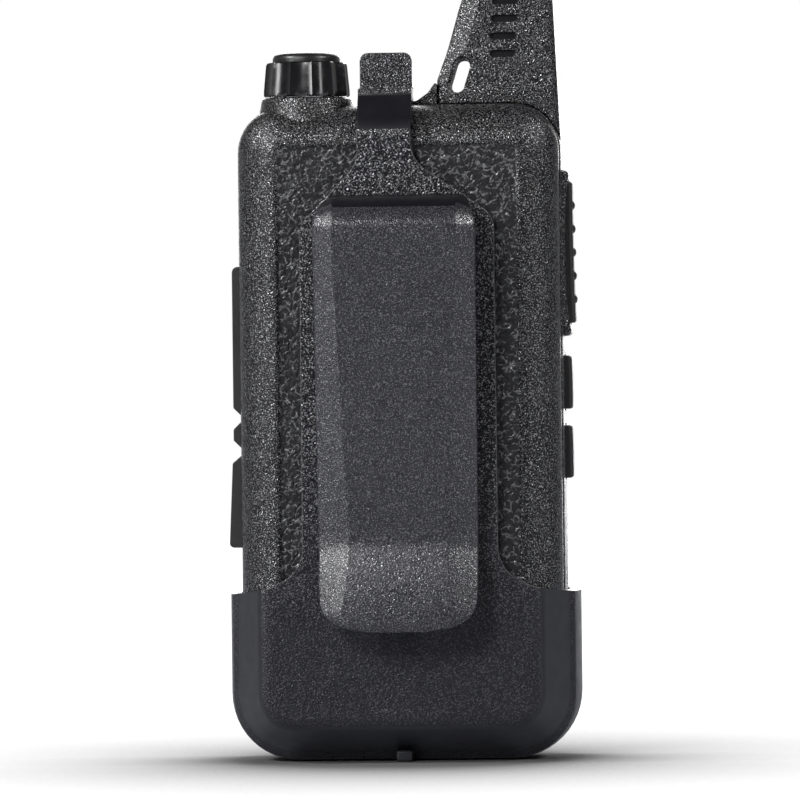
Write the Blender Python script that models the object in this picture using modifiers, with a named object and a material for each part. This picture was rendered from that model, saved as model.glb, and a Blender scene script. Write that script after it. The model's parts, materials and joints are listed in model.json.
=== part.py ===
"""Slim hand-held radio standing in its belt-clip holster.

Every length is in millimetres and becomes metres in the mesh. +Z is up, the speaker grille faces -Y and the
belt clip faces +Y. Y = 0 is the middle of the radio's thickness, and Z = 0 is the underside of the holster.
"""

import math

import bmesh
import bpy
from mathutils import Matrix, Vector

MM = 0.001
GAP = 0.3  # clearance between pieces that touch

# Radio body
HALF_WIDTH = 25.0
BODY_LOW = 2.0
BODY_HIGH = 100.7
CORNER_LOW = 8.5
CORNER_HIGH = 7.5
ARC_STEPS = 6
# Each shell is a stack of rings: (how far the outline is drawn in, Y of the ring, Z of its lowest edge if set).
CASE_RINGS = ((6.2, -10.5), (3.4, -10.1), (1.4, -9.0), (0.3, -7.0), (0.0, -3.0), (0.3, 3.85))
CASE_CAVITY = ((6.8, -8.9), (4.0, -8.5), (2.6, -7.5), (1.8, -5.8), (1.8, 5.0))
COVER_RINGS = (
    (0.35, 4.15), (0.45, 6.0), (1.1, 7.4), (2.6, 8.9), (4.6, 9.95), (6.2, 10.4), (7.1, 10.5), (7.4, 10.25),
)
COVER_CAVITY = ((1.9, 3.0), (1.9, 5.6), (2.8, 6.9), (4.4, 8.1), (6.0, 8.6), (7.6, 8.8))

# Holster
CRADLE_OUTER = (
    (3.0, -12.4), (0.6, -11.6), (-1.2, -9.8), (-1.9, -7.0, 0.0), (-2.0, -3.0, 0.0), (-1.75, 4.8, 0.0),
    (-1.4, 4.95), (-0.9, 6.4), (3.6, 12.3), (4.2, 12.7), (5.0, 12.8),
)
CRADLE_INNER = (
    (5.8, -10.8), (3.1, -10.45), (1.05, -9.35), (-0.05, -7.2), (-0.3, -3.0), (-0.05, 4.0), (0.1, 6.1),
    (0.75, 7.65), (2.3, 9.25), (4.4, 10.3), (6.2, 10.75), (7.4, 10.8),
)
LIP = 3.4  # how far the holster's front lip reaches over the radio's face
RIM = 25.8  # height of the cup's side walls
SPINE_HALF = 14.8
PLATE_BACK = 12.8
PLATE_FRONT = 10.8
NECK_LEFT = -2.3
NECK_RIGHT = 5.9

# Latch arm: the neck bends at this line
LATCH_AXIS_Y = 11.8
LATCH_AXIS_Z = 91.6
HOOK_LOW = 101.0
HOOK_TOP = 102.8
TAB_BACK = 4.6
TAB_FRONT = 2.8
TAB_TOP = 108.9

# Belt clip
CLIP_AXIS_Y = 14.7
CLIP_AXIS_Z = 84.6
CLIP_ROOT_RADIUS = 1.6
CLIP_HALF = 12.3
CLIP_BEVEL = 3.5
CLIP_THICK = 2.2
CLIP_FACE = ((22.2, 80.2), (18.4, 35.0))  # Y and Z of its outer face, at the top and at the kink

# Volume control
KNOB_X = 14.2
KNOB_Y = 1.0
COLLAR_TOP = 101.5
COLLAR_LOW = 94.0
COLLAR_TOP_RADIUS = 6.9
COLLAR_LOW_RADIUS = 8.3
KNOB_LOW = 101.9
KNOB_HIGH = 107.2
KNOB_RADIUS = 6.65
KNOB_FLUTES = 12
FLUTE_STEPS = 5
FLUTE_DEPTH = 0.3
SHAFT_RADIUS = 2.6

# Antenna
BLADE_Y = -1.0
BLADE_HALF = 4.2
BLADE_LOW = 101.05
BLADE_TOP = 152.0
BLADE_TAPER = 0.5
FEED_X = -17.5
BLADE_SCREW_X = -12.2
SLOT_RADIUS = 1.1
SLOT_ENDS = ((-9.0, 103.4), (-9.9, 106.3))

# Side controls, on the -X side
KEY_Y = -1.8
PTT_LOW, PTT_HIGH = 66.8, 88.5
PTT_FRAME_LOW, PTT_FRAME_HIGH = 64.8, 90.2
PTT_HALF = 2.8
PTT_RIBS = 5
PTT_RIB_PITCH = 3.6
KEY_SPANS = {"side_key_upper": (53.6, 61.8), "side_key_lower": (43.0, 51.1)}
KEY_HALF = 2.3
SWITCH_X = -20.2

# Socket cover, on the +X side
COVER_Y = -1.8
COVER_HALF = 3.7
COVER_BASE = 24.5
COVER_FACE = 26.05
FLAP_SPANS = {"accessory_flap": (53.2, 76.0), "anchor": (48.2, 52.1), "charge_flap": (32.8, 46.9)}
JACKS = {"jack_3_5mm": (70.5, 1.75), "jack_2_5mm": (59.5, 1.25)}
CHARGE_LOW, CHARGE_HIGH = 36.2, 43.8
CHARGE_FRONT, CHARGE_BACK = -4.8, -1.9

# Inside
BOARD_FRONT, BOARD_BACK = -1.6, -0.6
BOARD_LOW, BOARD_HIGH = 7.0, 91.0
BOARD_HALF = 20.6
CHASSIS_FRONT, CHASSIS_BACK = 1.9, 3.4
SPEAKER_Z = 70.0
SPEAKER_RADIUS = 14.0
MIC_X, MIC_Z = 8.0, 14.0
LED_Z = 89.5
CASE_SCREWS = ((-18.0, 13.0), (18.0, 13.0), (-18.0, 86.0), (18.0, 86.0))
BOARD_SCREWS = ((-14.0, 24.0), (14.0, 24.0))
SCREW_SIDES = 12

MATERIALS = {  # colour, roughness, metallic
    "case_plastic": ((0.022, 0.022, 0.024), 0.45, 0.0),
    "holster_plastic": ((0.026, 0.026, 0.029), 0.5, 0.0),
    "knob_plastic": ((0.014, 0.014, 0.016), 0.3, 0.0),
    "rubber": ((0.03, 0.03, 0.032), 0.65, 0.0),
    "grille": ((0.016, 0.016, 0.017), 0.4, 0.0),
    "lens": ((0.75, 0.78, 0.75), 0.1, 0.0),
    "steel": ((0.6, 0.6, 0.62), 0.3, 1.0),
    "brass": ((0.78, 0.57, 0.25), 0.3, 1.0),
    "board": ((0.02, 0.17, 0.07), 0.5, 0.0),
    "chip": ((0.03, 0.03, 0.03), 0.4, 0.0),
    "battery_wrap": ((0.25, 0.27, 0.3), 0.5, 0.0),
    "paper_cone": ((0.06, 0.055, 0.05), 0.8, 0.0),
}


# ---------------------------------------------------------------- helpers


def clear_scene():
    for obj in list(bpy.data.objects):
        bpy.data.objects.remove(obj)


def new_collection(name):
    group = bpy.data.collections.new(name)
    bpy.context.scene.collection.children.link(group)
    return group


def new_material(name):
    colour, roughness, metallic = MATERIALS[name]
    made = bpy.data.materials.new(name)
    made.use_nodes = True
    shader = made.node_tree.nodes["Principled BSDF"]
    shader.inputs["Base Color"].default_value = (*colour, 1.0)
    shader.inputs["Roughness"].default_value = roughness
    shader.inputs["Metallic"].default_value = metallic
    return made


def place(name, data, material=None):
    """Links an object: a part if it has a material, otherwise a cutter."""
    obj = bpy.data.objects.new(name, data)
    if material:
        data.materials.append(bpy.data.materials[material])
        bpy.data.collections["portable_radio"].objects.link(obj)
    else:
        obj.hide_render = True
        obj.display_type = "WIRE"
        bpy.data.collections["cutters"].objects.link(obj)
    return obj


def finish_mesh(name, bm, material=None, bevel=0.0, origin=(0.0, 0.0, 0.0)):
    """Turns a bmesh in millimetres into an object whose origin is at the given point."""
    bmesh.ops.recalc_face_normals(bm, faces=bm.faces)
    bmesh.ops.translate(bm, verts=bm.verts, vec=-Vector(origin))
    bmesh.ops.scale(bm, verts=bm.verts, vec=(MM, MM, MM))
    mesh = bpy.data.meshes.new(name)
    bm.to_mesh(mesh)
    bm.free()
    obj = place(name, mesh, material)
    obj.location = Vector(origin) * MM
    if bevel:
        add_bevel(obj, bevel)
    return obj


def add_bevel(obj, width, segments=1):
    modifier = obj.modifiers.new("edges", "BEVEL")
    modifier.width = width * MM
    modifier.segments = segments
    modifier.limit_method = "ANGLE"
    modifier.angle_limit = math.radians(35)


def boolean(obj, other, operation):
    modifier = obj.modifiers.new(operation.lower(), "BOOLEAN")
    modifier.operation = operation
    modifier.object = other
    return obj


def cut(obj, *others):
    for other in others:
        boolean(obj, other, "DIFFERENCE")
    return obj


def join(obj, *others):
    for other in others:
        boolean(obj, other, "UNION")
    return obj


def cube_into(bm, low, high):
    low, high = Vector(low), Vector(high)
    size = high - low
    matrix = Matrix.Translation((low + high) / 2) @ Matrix.Diagonal((*size, 1.0))
    bmesh.ops.create_cube(bm, size=1.0, matrix=matrix)


def box(name, low, high, material=None, bevel=0.0, origin=(0.0, 0.0, 0.0)):
    bm = bmesh.new()
    cube_into(bm, low, high)
    return finish_mesh(name, bm, material, bevel, origin)


def cylinder_into(bm, start, end, radius, radius_end=None, segments=24):
    start, end = Vector(start), Vector(end)
    along = end - start
    turn = along.to_track_quat("Z", "Y").to_matrix().to_4x4()
    bmesh.ops.create_cone(
        bm,
        cap_ends=True,
        segments=segments,
        radius1=radius,
        radius2=radius if radius_end is None else radius_end,
        depth=along.length,
        matrix=Matrix.Translation((start + end) / 2) @ turn,
    )


def cylinder(name, start, end, radius, material=None, radius_end=None, segments=24, bevel=0.0,
             origin=(0.0, 0.0, 0.0)):
    bm = bmesh.new()
    cylinder_into(bm, start, end, radius, radius_end, segments)
    return finish_mesh(name, bm, material, bevel, origin)


def loft(name, rings, material=None, bevel=0.0, origin=(0.0, 0.0, 0.0)):
    """A closed skin over rings that have the same number of points."""
    bm = bmesh.new()
    rows = [[bm.verts.new(point) for point in ring] for ring in rings]
    count = len(rows[0])
    for here, there in zip(rows, rows[1:]):
        for i in range(count):
            j = (i + 1) % count
            bm.faces.new((here[i], here[j], there[j], there[i]))
    bm.faces.new(rows[0])
    bm.faces.new(rows[-1])
    return finish_mesh(name, bm, material, bevel, origin)


def rounded_path(corners, steps=ARC_STEPS):
    """A closed outline through (u, v) or (u, v, radius) corners, with each radius as an arc."""
    points = []
    count = len(corners)
    for i, corner in enumerate(corners):
        here = Vector(corner[:2])
        radius = corner[2] if len(corner) > 2 else 0.0
        if not radius:
            points.append(here)
            continue
        before = (Vector(corners[i - 1][:2]) - here).normalized()
        after = (Vector(corners[(i + 1) % count][:2]) - here).normalized()
        half = before.angle(after) / 2
        centre = here + (before + after).normalized() * (radius / math.sin(half))
        first = here + before * (radius / math.tan(half)) - centre
        turn = first.angle_signed(here + after * (radius / math.tan(half)) - centre)
        for k in range(steps + 1):
            angle = -turn * k / steps
            spoke = Matrix.Rotation(angle, 2) @ first
            points.append(centre + spoke)
    return points


def plate(name, outline, low, high, plane, material=None, bevel=0.0):
    """A flat outline given thickness: plane XZ runs from low to high along Y, YZ along X, XY along Z."""
    curve = bpy.data.curves.new(name, "CURVE")
    curve.dimensions = "2D"
    curve.fill_mode = "BOTH"
    curve.extrude = (high - low) / 2 * MM
    spline = curve.splines.new("POLY")
    spline.points.add(len(outline) - 1)
    for point, (u, v) in zip(spline.points, outline):
        point.co = (u * MM, v * MM, 0.0, 1.0)
    spline.use_cyclic_u = True
    middle = (low + high) / 2 * MM
    placed = {
        "XZ": Matrix(((1, 0, 0, 0), (0, 0, -1, middle), (0, 1, 0, 0), (0, 0, 0, 1))),
        "YZ": Matrix(((0, 0, 1, middle), (1, 0, 0, 0), (0, 1, 0, 0), (0, 0, 0, 1))),
        "XY": Matrix.Translation((0, 0, middle)),
    }[plane]
    guide = place(name + "_outline", curve)
    guide.matrix_world = placed
    return as_mesh(guide, name, material, bevel)


def as_mesh(guide, name, material, bevel):
    """Replaces a curve by a welded mesh with its shape."""
    bpy.context.view_layer.update()
    graph = bpy.context.evaluated_depsgraph_get()
    matrix = guide.matrix_world.copy()
    mesh = bpy.data.meshes.new_from_object(guide.evaluated_get(graph))
    bpy.data.objects.remove(guide)
    bm = bmesh.new()
    bm.from_mesh(mesh)
    bpy.data.meshes.remove(mesh)
    bmesh.ops.transform(bm, verts=bm.verts, matrix=Matrix.Scale(1 / MM, 4) @ matrix)
    bmesh.ops.remove_doubles(bm, verts=bm.verts, dist=0.001)
    bmesh.ops.dissolve_limit(bm, angle_limit=math.radians(0.5), verts=bm.verts, edges=bm.edges)
    return finish_mesh(name, bm, material, bevel)


def set_origin(obj, origin):
    """Moves an object's origin to a point in millimetres and leaves its shape in place."""
    shift = Vector(origin) * MM - obj.location
    obj.data.transform(Matrix.Translation(-shift))
    obj.location += shift
    return obj


def turned(name, profile, base, direction, material, steps=32):
    """A profile of (radius, height) pairs, outer side from top to bottom, spun about an axis through base."""
    mesh = bpy.data.meshes.new(name)
    points = [(radius * MM, 0.0, height * MM) for radius, height in profile]
    mesh.from_pydata(points, [(i, i + 1) for i in range(len(points) - 1)], [])
    obj = place(name, mesh, material)
    spin = obj.modifiers.new("spin", "SCREW")
    spin.steps = steps
    spin.render_steps = steps
    spin.use_merge_vertices = True
    spin.merge_threshold = 0.00001
    obj.location = Vector(base) * MM
    obj.rotation_mode = "QUATERNION"
    obj.rotation_quaternion = Vector(direction).to_track_quat("Z", "Y")
    return obj


def body_ring(inset, y, floor=None, steps=ARC_STEPS):
    """The radio's outline seen from the front, drawn in by inset, as a ring at depth y."""
    side = HALF_WIDTH - inset
    low = BODY_LOW + inset if floor is None else floor
    corners = (
        (side, low, CORNER_LOW),
        (side, BODY_HIGH - inset, CORNER_HIGH),
        (-side, BODY_HIGH - inset, CORNER_HIGH),
        (-side, low, CORNER_LOW),
    )
    shape = [(x, z, max(radius - inset, 0.8)) for x, z, radius in corners]
    return [(x, y, z) for x, z in rounded_path(shape, steps)]


def body_stack(rings):
    return [body_ring(*ring) for ring in rings]


# ---------------------------------------------------------------- radio shells


def ptt_frame():
    """The raised frame round the talk button, which stands highest at its two ends."""
    inner, front, back = -23.6, KEY_Y - 4.2, KEY_Y + 4.2
    middle = (PTT_FRAME_LOW + PTT_FRAME_HIGH) / 2
    half = (PTT_FRAME_HIGH - PTT_FRAME_LOW) / 2
    rings = []
    for share in (-1.0, -0.93, -0.7, -0.4, 0.0, 0.4, 0.7, 0.93, 1.0):
        rise = 0.35 + 1.05 * abs(share) ** 3
        if abs(share) == 1.0:
            rise -= 0.5
        outer = -HALF_WIDTH - rise
        z = middle + half * share
        rings.append([(inner, front, z), (outer, front + 1.0, z), (outer, back - 1.0, z), (inner, back, z)])
    return loft("ptt_frame", rings)


def antenna_root():
    """The fillet on the case's top that leads up to the antenna."""
    outline = rounded_path(((-1.4, 99.9), (-2.0, 100.75), (-4.4, 101.2, 2.5), (-5.55, 103.7), (-5.55, 99.9)), 4)
    return plate("antenna_root", outline, BLADE_Y - 4.0, BLADE_Y + 4.0, "XZ")


def front_case():
    case = loft("front_case", body_stack(CASE_RINGS), "case_plastic")
    knob = (KNOB_X, KNOB_Y)
    collar = cylinder(
        "collar", (*knob, COLLAR_LOW), (*knob, COLLAR_TOP), COLLAR_LOW_RADIUS, None, COLLAR_TOP_RADIUS, 36
    )
    join(case, ptt_frame(), antenna_root(), collar)
    cut(case, loft("case_cavity", body_stack(CASE_CAVITY)))
    for i, (x, z) in enumerate(CASE_SCREWS):
        boss = cylinder(f"case_boss_{i}", (x, -9.2, z), (x, CHASSIS_FRONT - GAP, z), 2.2, segments=14)
        join(case, boss)
        cut(case, cylinder(f"case_boss_bore_{i}", (x, -6.0, z), (x, 6.0, z), 1.3, segments=12))
    for i, (x, z) in enumerate(BOARD_SCREWS):
        post = cylinder(f"board_post_{i}", (x, -9.2, z), (x, BOARD_FRONT - GAP, z), 1.9, segments=12)
        join(case, post)
        cut(case, cylinder(f"board_post_bore_{i}", (x, -6.5, z), (x, 2.0, z), 1.0, segments=10))
    cut(case, *side_key_holes(), *socket_holes(), *front_holes(), *top_holes())
    return case


def side_key_holes():
    spans = {"ptt_hole": (PTT_LOW, PTT_HIGH, PTT_HALF)}
    for name, (low, high) in KEY_SPANS.items():
        spans[name + "_hole"] = (low, high, KEY_HALF)
    return [
        box(name, (-30, KEY_Y - half - GAP, low - GAP), (-22, KEY_Y + half + GAP, high + GAP))
        for name, (low, high, half) in spans.items()
    ]


def socket_holes():
    low = FLAP_SPANS["charge_flap"][0] - GAP
    high = FLAP_SPANS["accessory_flap"][1] + GAP
    reach = COVER_HALF + GAP
    holes = [box("cover_recess", (COVER_BASE - GAP, COVER_Y - reach, low), (28, COVER_Y + reach, high))]
    for name, (z, radius) in JACKS.items():
        holes.append(cylinder(name + "_hole", (22, COVER_Y, z), (26, COVER_Y, z), radius + 0.7, segments=16))
    holes.append(
        box("charge_hole", (22, CHARGE_FRONT + 0.2, CHARGE_LOW + 0.3), (26, CHARGE_BACK - 0.2, CHARGE_HIGH - 0.3))
    )
    holes.append(box("anchor_hole", (22, COVER_Y - 1.1, 49.1), (26, COVER_Y + 1.1, 51.2)))
    return holes


def grille_outline(half):
    """A rounded square centred on the speaker."""
    low, high = SPEAKER_Z - half + 1.5, SPEAKER_Z + half - 1.5
    return rounded_path(((-half, low, 1.5), (half, low, 1.5), (half, high, 1.5), (-half, high, 1.5)), 3)


def front_holes():
    return [
        plate("grille_recess", grille_outline(16.5 + GAP), -12, -9.6, "XZ"),
        cylinder("speaker_mouth", (0, -12, SPEAKER_Z), (0, -8, SPEAKER_Z), 12.5, segments=28),
        cylinder("mic_hole", (MIC_X, -12, MIC_Z), (MIC_X, -8, MIC_Z), 0.8, segments=12),
        box("led_hole", (-2.8, -12, LED_Z - 1.1), (2.8, -8, LED_Z + 1.1)),
    ]


def top_holes():
    return [
        cylinder("pot_hole", (KNOB_X, KNOB_Y, 96), (KNOB_X, KNOB_Y, 103), 3.8, segments=20),
        cylinder("pot_seat", (KNOB_X, KNOB_Y, 92), (KNOB_X, KNOB_Y, 98.2), 5.6, segments=20),
        cylinder("feed_hole", (FEED_X, BLADE_Y, 96), (FEED_X, BLADE_Y, 103), 1.9, segments=14),
        cylinder("blade_screw_hole", (BLADE_SCREW_X, BLADE_Y, 96), (BLADE_SCREW_X, BLADE_Y, 103), 1.3, segments=12),
    ]


def speaker_grille():
    panel = plate("speaker_grille", grille_outline(16.5), -10.7, -9.9, "XZ", "grille")
    slots = 7
    pitch = 3.2
    for i in range(slots):
        z = SPEAKER_Z + (i - (slots - 1) / 2) * pitch
        half = math.sqrt(12.0 ** 2 - (z - SPEAKER_Z) ** 2)
        cut(panel, box(f"grille_slot_{i}", (-half, -12, z - 0.7), (half, -9, z + 0.7)))
    return panel


def battery_cover():
    cover = loft("battery_cover", body_stack(COVER_RINGS), "case_plastic")
    grow = GAP + 0.05
    notch = cylinder(
        "collar_notch", (KNOB_X, KNOB_Y, COLLAR_LOW), (KNOB_X, KNOB_Y, COLLAR_TOP),
        COLLAR_LOW_RADIUS + grow, None, COLLAR_TOP_RADIUS + grow, 36,
    )
    return cut(cover, loft("cover_cavity", body_stack(COVER_CAVITY)), notch)


def rear_chassis():
    inset = 2.2
    corners = (
        (HALF_WIDTH - inset, BODY_LOW + inset, CORNER_LOW - inset), (HALF_WIDTH - inset, 90.0, 2.0),
        (inset - HALF_WIDTH, 90.0, 2.0), (inset - HALF_WIDTH, BODY_LOW + inset, CORNER_LOW - inset),
    )
    chassis = plate("rear_chassis", rounded_path(corners, 5), CHASSIS_FRONT, CHASSIS_BACK, "XZ", "chip")
    for i, (x, z) in enumerate(CASE_SCREWS):
        cut(chassis, cylinder(f"chassis_hole_{i}", (x, 0, z), (x, 6, z), 1.4, segments=12))
    pot_room = box("chassis_pot_room", (KNOB_X - 6.4, 0, 88.2), (KNOB_X + 6.4, 6, 95))
    return cut(chassis, pot_room)


# ---------------------------------------------------------------- holster


def holster_outline():
    """The cup and the spine seen from behind, up to the line where the latch arm bends."""
    wide, flare = 32.0, 26.3
    return rounded_path((
        (wide, -3.0), (wide, RIM - 0.4), (HALF_WIDTH + 1.0, RIM, 2.0), (20.4, flare + 0.4, 6.0),
        (SPINE_HALF + 0.1, 29.4, 5.5), (SPINE_HALF, 82.0, 4.0), (NECK_RIGHT, 91.2, 5.0), (NECK_RIGHT, 100.0),
        (NECK_LEFT, 100.0), (NECK_LEFT, 91.8, 5.0), (-SPINE_HALF, 83.2, 4.0), (-SPINE_HALF - 0.1, 29.4, 5.5),
        (-20.4, flare + 0.4, 6.0), (-HALF_WIDTH - 1.0, RIM, 2.0), (-wide, RIM - 0.4), (-wide, -3.0),
    ))


def holster_cradle():
    cradle = loft("holster_cradle", body_stack(CRADLE_OUTER), "holster_plastic")
    cut(cradle, loft("cradle_inside", body_stack(CRADLE_INNER)))
    boolean(cradle, plate("holster_shape", holster_outline(), -20, 20, "XZ"), "INTERSECT")
    side = HALF_WIDTH - LIP
    window = rounded_path((
        (side, BODY_LOW + LIP, CORNER_LOW - LIP), (side, 130), (-side, 130), (-side, BODY_LOW + LIP, CORNER_LOW - LIP),
    ))
    cut(cradle, plate("front_window", window, -20, -8.8, "XZ"))
    cut(cradle, box("neck_split", (-12, -20, LATCH_AXIS_Z - 0.83), (16, 20, 110)))
    axis = LATCH_AXIS_Y, LATCH_AXIS_Z
    cut(cradle, cylinder("neck_groove", (-15, *axis), (18, *axis), 1.0 + GAP, segments=20))
    return join(cradle, box("gate_stub", (-1.3, 4.6, 0.0), (1.3, 7.6, 1.7)))


def latch_arm():
    knuckle = [
        (LATCH_AXIS_Y + math.cos(angle), LATCH_AXIS_Z + math.sin(angle))
        for angle in (math.pi * (1 + k / 8) for k in range(9))
    ]
    bends = rounded_path((
        (12.8, 93.6), (12.8, 95.2, 4.0), (10.2, 101.0, 4.0), (8.3, HOOK_TOP, 1.5), (TAB_BACK, HOOK_TOP, 0.5),
        (TAB_BACK, TAB_TOP, 0.5), (TAB_FRONT, TAB_TOP, 0.5), (TAB_FRONT, HOOK_LOW, 0.4), (6.4, HOOK_LOW, 1.0),
        (9.0, 99.0, 3.0), (10.8, 95.3, 3.0), (10.8, 93.6),
    ), 4)
    outline = knuckle + [tuple(point) for point in bends]
    arm = plate("latch_arm", outline, NECK_LEFT, NECK_RIGHT, "YZ", "holster_plastic")
    front = rounded_path(((NECK_LEFT - 3, 80), (NECK_RIGHT + 3, 80), (NECK_RIGHT + 3, HOOK_TOP + 0.1),
                          (NECK_RIGHT - 0.1, HOOK_TOP + 0.3), (NECK_RIGHT - 0.1, TAB_TOP + 0.1, 1.6),
                          (NECK_LEFT + 0.1, TAB_TOP + 0.1, 1.6), (NECK_LEFT + 0.1, HOOK_TOP + 0.3),
                          (NECK_LEFT - 3, HOOK_TOP + 0.1)), 4)
    boolean(arm, plate("tab_corners", front, 0, 20, "XZ"), "INTERSECT")
    return set_origin(arm, (0, LATCH_AXIS_Y, LATCH_AXIS_Z))


def clip_stations():
    """Stations down the clip: (Y of the outer face, Z, tilt of its normal above +Y, half width, bevel drop)."""
    (top_y, top_z), (low_y, low_z) = CLIP_FACE
    lean = math.degrees(math.atan2(low_y - top_y, top_z - low_z))
    return (
        (15.3, 86.3, 80, 12.0, 0.6),
        (17.8, 85.75, 68, 12.1, 0.9),
        (20.2, 84.3, 45, 12.2, 1.2),
        (21.8, 82.2, 15, 12.3, 1.5),
        (top_y, top_z, lean, 12.3, 1.6),
        (low_y, low_z, lean, 12.1, 1.6),
        (low_y - 0.1, low_z - 1.6, 5, 12.1, 1.6),
        (19.4, 27.0, 12, 12.0, 1.5),
        (19.75, 25.0, 12, 11.9, 1.4),
        (20.05, 23.2, 12, 11.3, 1.1),
        (20.3, 21.8, 12, 10.0, 0.8),
        (20.45, 20.8, 12, 8.0, 0.4),
        (20.55, 20.2, 12, 5.0, 0.1),
    )


def clip_section(y, z, tilt, half, drop):
    """A shallow channel: flat in the middle, falling by drop at both sides."""
    normal = Vector((0, math.cos(math.radians(tilt)), math.sin(math.radians(tilt))))
    flat = half * (1 - CLIP_BEVEL / CLIP_HALF)
    outer = ((-half, drop + 0.4), (-half + 0.3, drop), (-flat, 0.0), (flat, 0.0), (half - 0.3, drop), (half, drop + 0.4))
    under = drop * 0.35 + CLIP_THICK
    inner = ((half, under), (flat, CLIP_THICK), (-flat, CLIP_THICK), (-half, under))
    centre = Vector((0, y, z))
    return [centre + Vector((x, 0, 0)) - normal * depth for x, depth in outer + inner]


def belt_clip():
    blade = loft("belt_clip", [clip_section(*station) for station in clip_stations()], "holster_plastic")
    axis = CLIP_AXIS_Y, CLIP_AXIS_Z
    root = cylinder("clip_root", (-11.9, *axis), (11.9, *axis), CLIP_ROOT_RADIUS, segments=20)
    join(blade, root)
    return set_origin(blade, (0, *axis))


# ---------------------------------------------------------------- antenna


def blade_outline():
    shoulder = Vector((CORNER_HIGH - HALF_WIDTH, BODY_HIGH - CORNER_HIGH))
    reach = CORNER_HIGH + GAP + 0.05
    low_angle = math.asin((97.2 - shoulder.y) / reach)
    under = [
        (shoulder.x - reach * math.cos(angle), shoulder.y + reach * math.sin(angle))
        for angle in (low_angle + (math.pi / 2 - low_angle) * k / 6 for k in range(7))
    ]
    edge = rounded_path((
        (-5.85, BLADE_LOW), (-5.85, 104.3), (-10.4, 118.6, 40.0), (-14.3, 138.0, 60.0), (-15.0, BLADE_TOP, 3.2),
        (-22.3, BLADE_TOP, 3.2), (-24.65, 97.2),
    ), 5)
    return under + [tuple(point) for point in edge]


def antenna_blade():
    blade = plate("antenna_blade", blade_outline(), BLADE_Y - BLADE_HALF, BLADE_Y + BLADE_HALF, "XZ", "case_plastic")
    for vertex in blade.data.vertices:
        share = (vertex.co.z / MM - BLADE_LOW) / (BLADE_TOP - BLADE_LOW)
        middle = BLADE_Y * MM
        vertex.co.y = middle + (vertex.co.y - middle) * (1 - BLADE_TAPER * max(share, 0.0))
    add_bevel(blade, 0.5)
    (x0, z0), (x1, z1) = SLOT_ENDS
    lean = Vector((x1 - x0, z1 - z0)).normalized()
    side = Vector((lean.y, -lean.x)) * SLOT_RADIUS
    ends = []
    for (x, z), start in (((x0, z0), 0.0), ((x1, z1), math.pi)):
        for k in range(7):
            spoke = Matrix.Rotation(start + math.pi * k / 6, 2) @ Vector(side)
            ends.append((x - spoke.x, z - spoke.y))
    slot = plate("lanyard_slot", ends, -12, 12, "XZ")
    feed = cylinder("feed_bore", (FEED_X, BLADE_Y, 95), (FEED_X, BLADE_Y, 104.1), 1.9, segments=14)
    coil = cylinder("coil_bore", (FEED_X, BLADE_Y, 100), (FEED_X, BLADE_Y, 141), 1.6, segments=12)
    screw = cylinder("blade_screw_bore", (BLADE_SCREW_X, BLADE_Y, 95), (BLADE_SCREW_X, BLADE_Y, 106), 1.3, segments=12)
    return cut(blade, slot, feed, coil, screw)


def antenna_inside():
    cylinder("antenna_feed", (FEED_X, BLADE_Y, 94.0), (FEED_X, BLADE_Y, 103.8), 1.5, "brass", segments=14)
    turns, per_turn, low, high = 13, 8, 104.4, 140.0
    curve = bpy.data.curves.new("antenna_coil", "CURVE")
    curve.dimensions = "3D"
    curve.bevel_depth = 0.28 * MM
    curve.bevel_resolution = 0
    curve.use_fill_caps = True
    spline = curve.splines.new("POLY")
    count = turns * per_turn + 1
    spline.points.add(count - 1)
    for i, point in enumerate(spline.points):
        angle = math.tau * i / per_turn
        z = low + (high - low) * i / (count - 1)
        x, y = FEED_X + math.cos(angle), BLADE_Y + math.sin(angle)
        point.co = (x * MM, y * MM, z * MM, 1.0)
    place("antenna_coil", curve, "brass")
    screw("antenna_screw", (BLADE_SCREW_X, BLADE_Y, 98.5), (0, 0, 1), 6.6, 1.0, 1.9)


def screw(name, seat, direction, length, radius, head):
    """A pan-head screw whose head ends at seat and whose shank runs along direction."""
    seat, direction = Vector(seat), Vector(direction)
    turn = direction.to_track_quat("Z", "Y").to_matrix().to_4x4()
    profile = ((-1.2, head * 0.7), (-0.4, head), (0.0, head), (0.0, radius), (length, radius))
    rings = []
    for along, reach in profile:
        angles = (math.tau * k / SCREW_SIDES for k in range(SCREW_SIDES))
        spokes = (Vector((reach * math.cos(angle), reach * math.sin(angle), along)) for angle in angles)
        rings.append([seat + turn @ spoke for spoke in spokes])
    return loft(name, rings, "steel")


# ---------------------------------------------------------------- volume control


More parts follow.
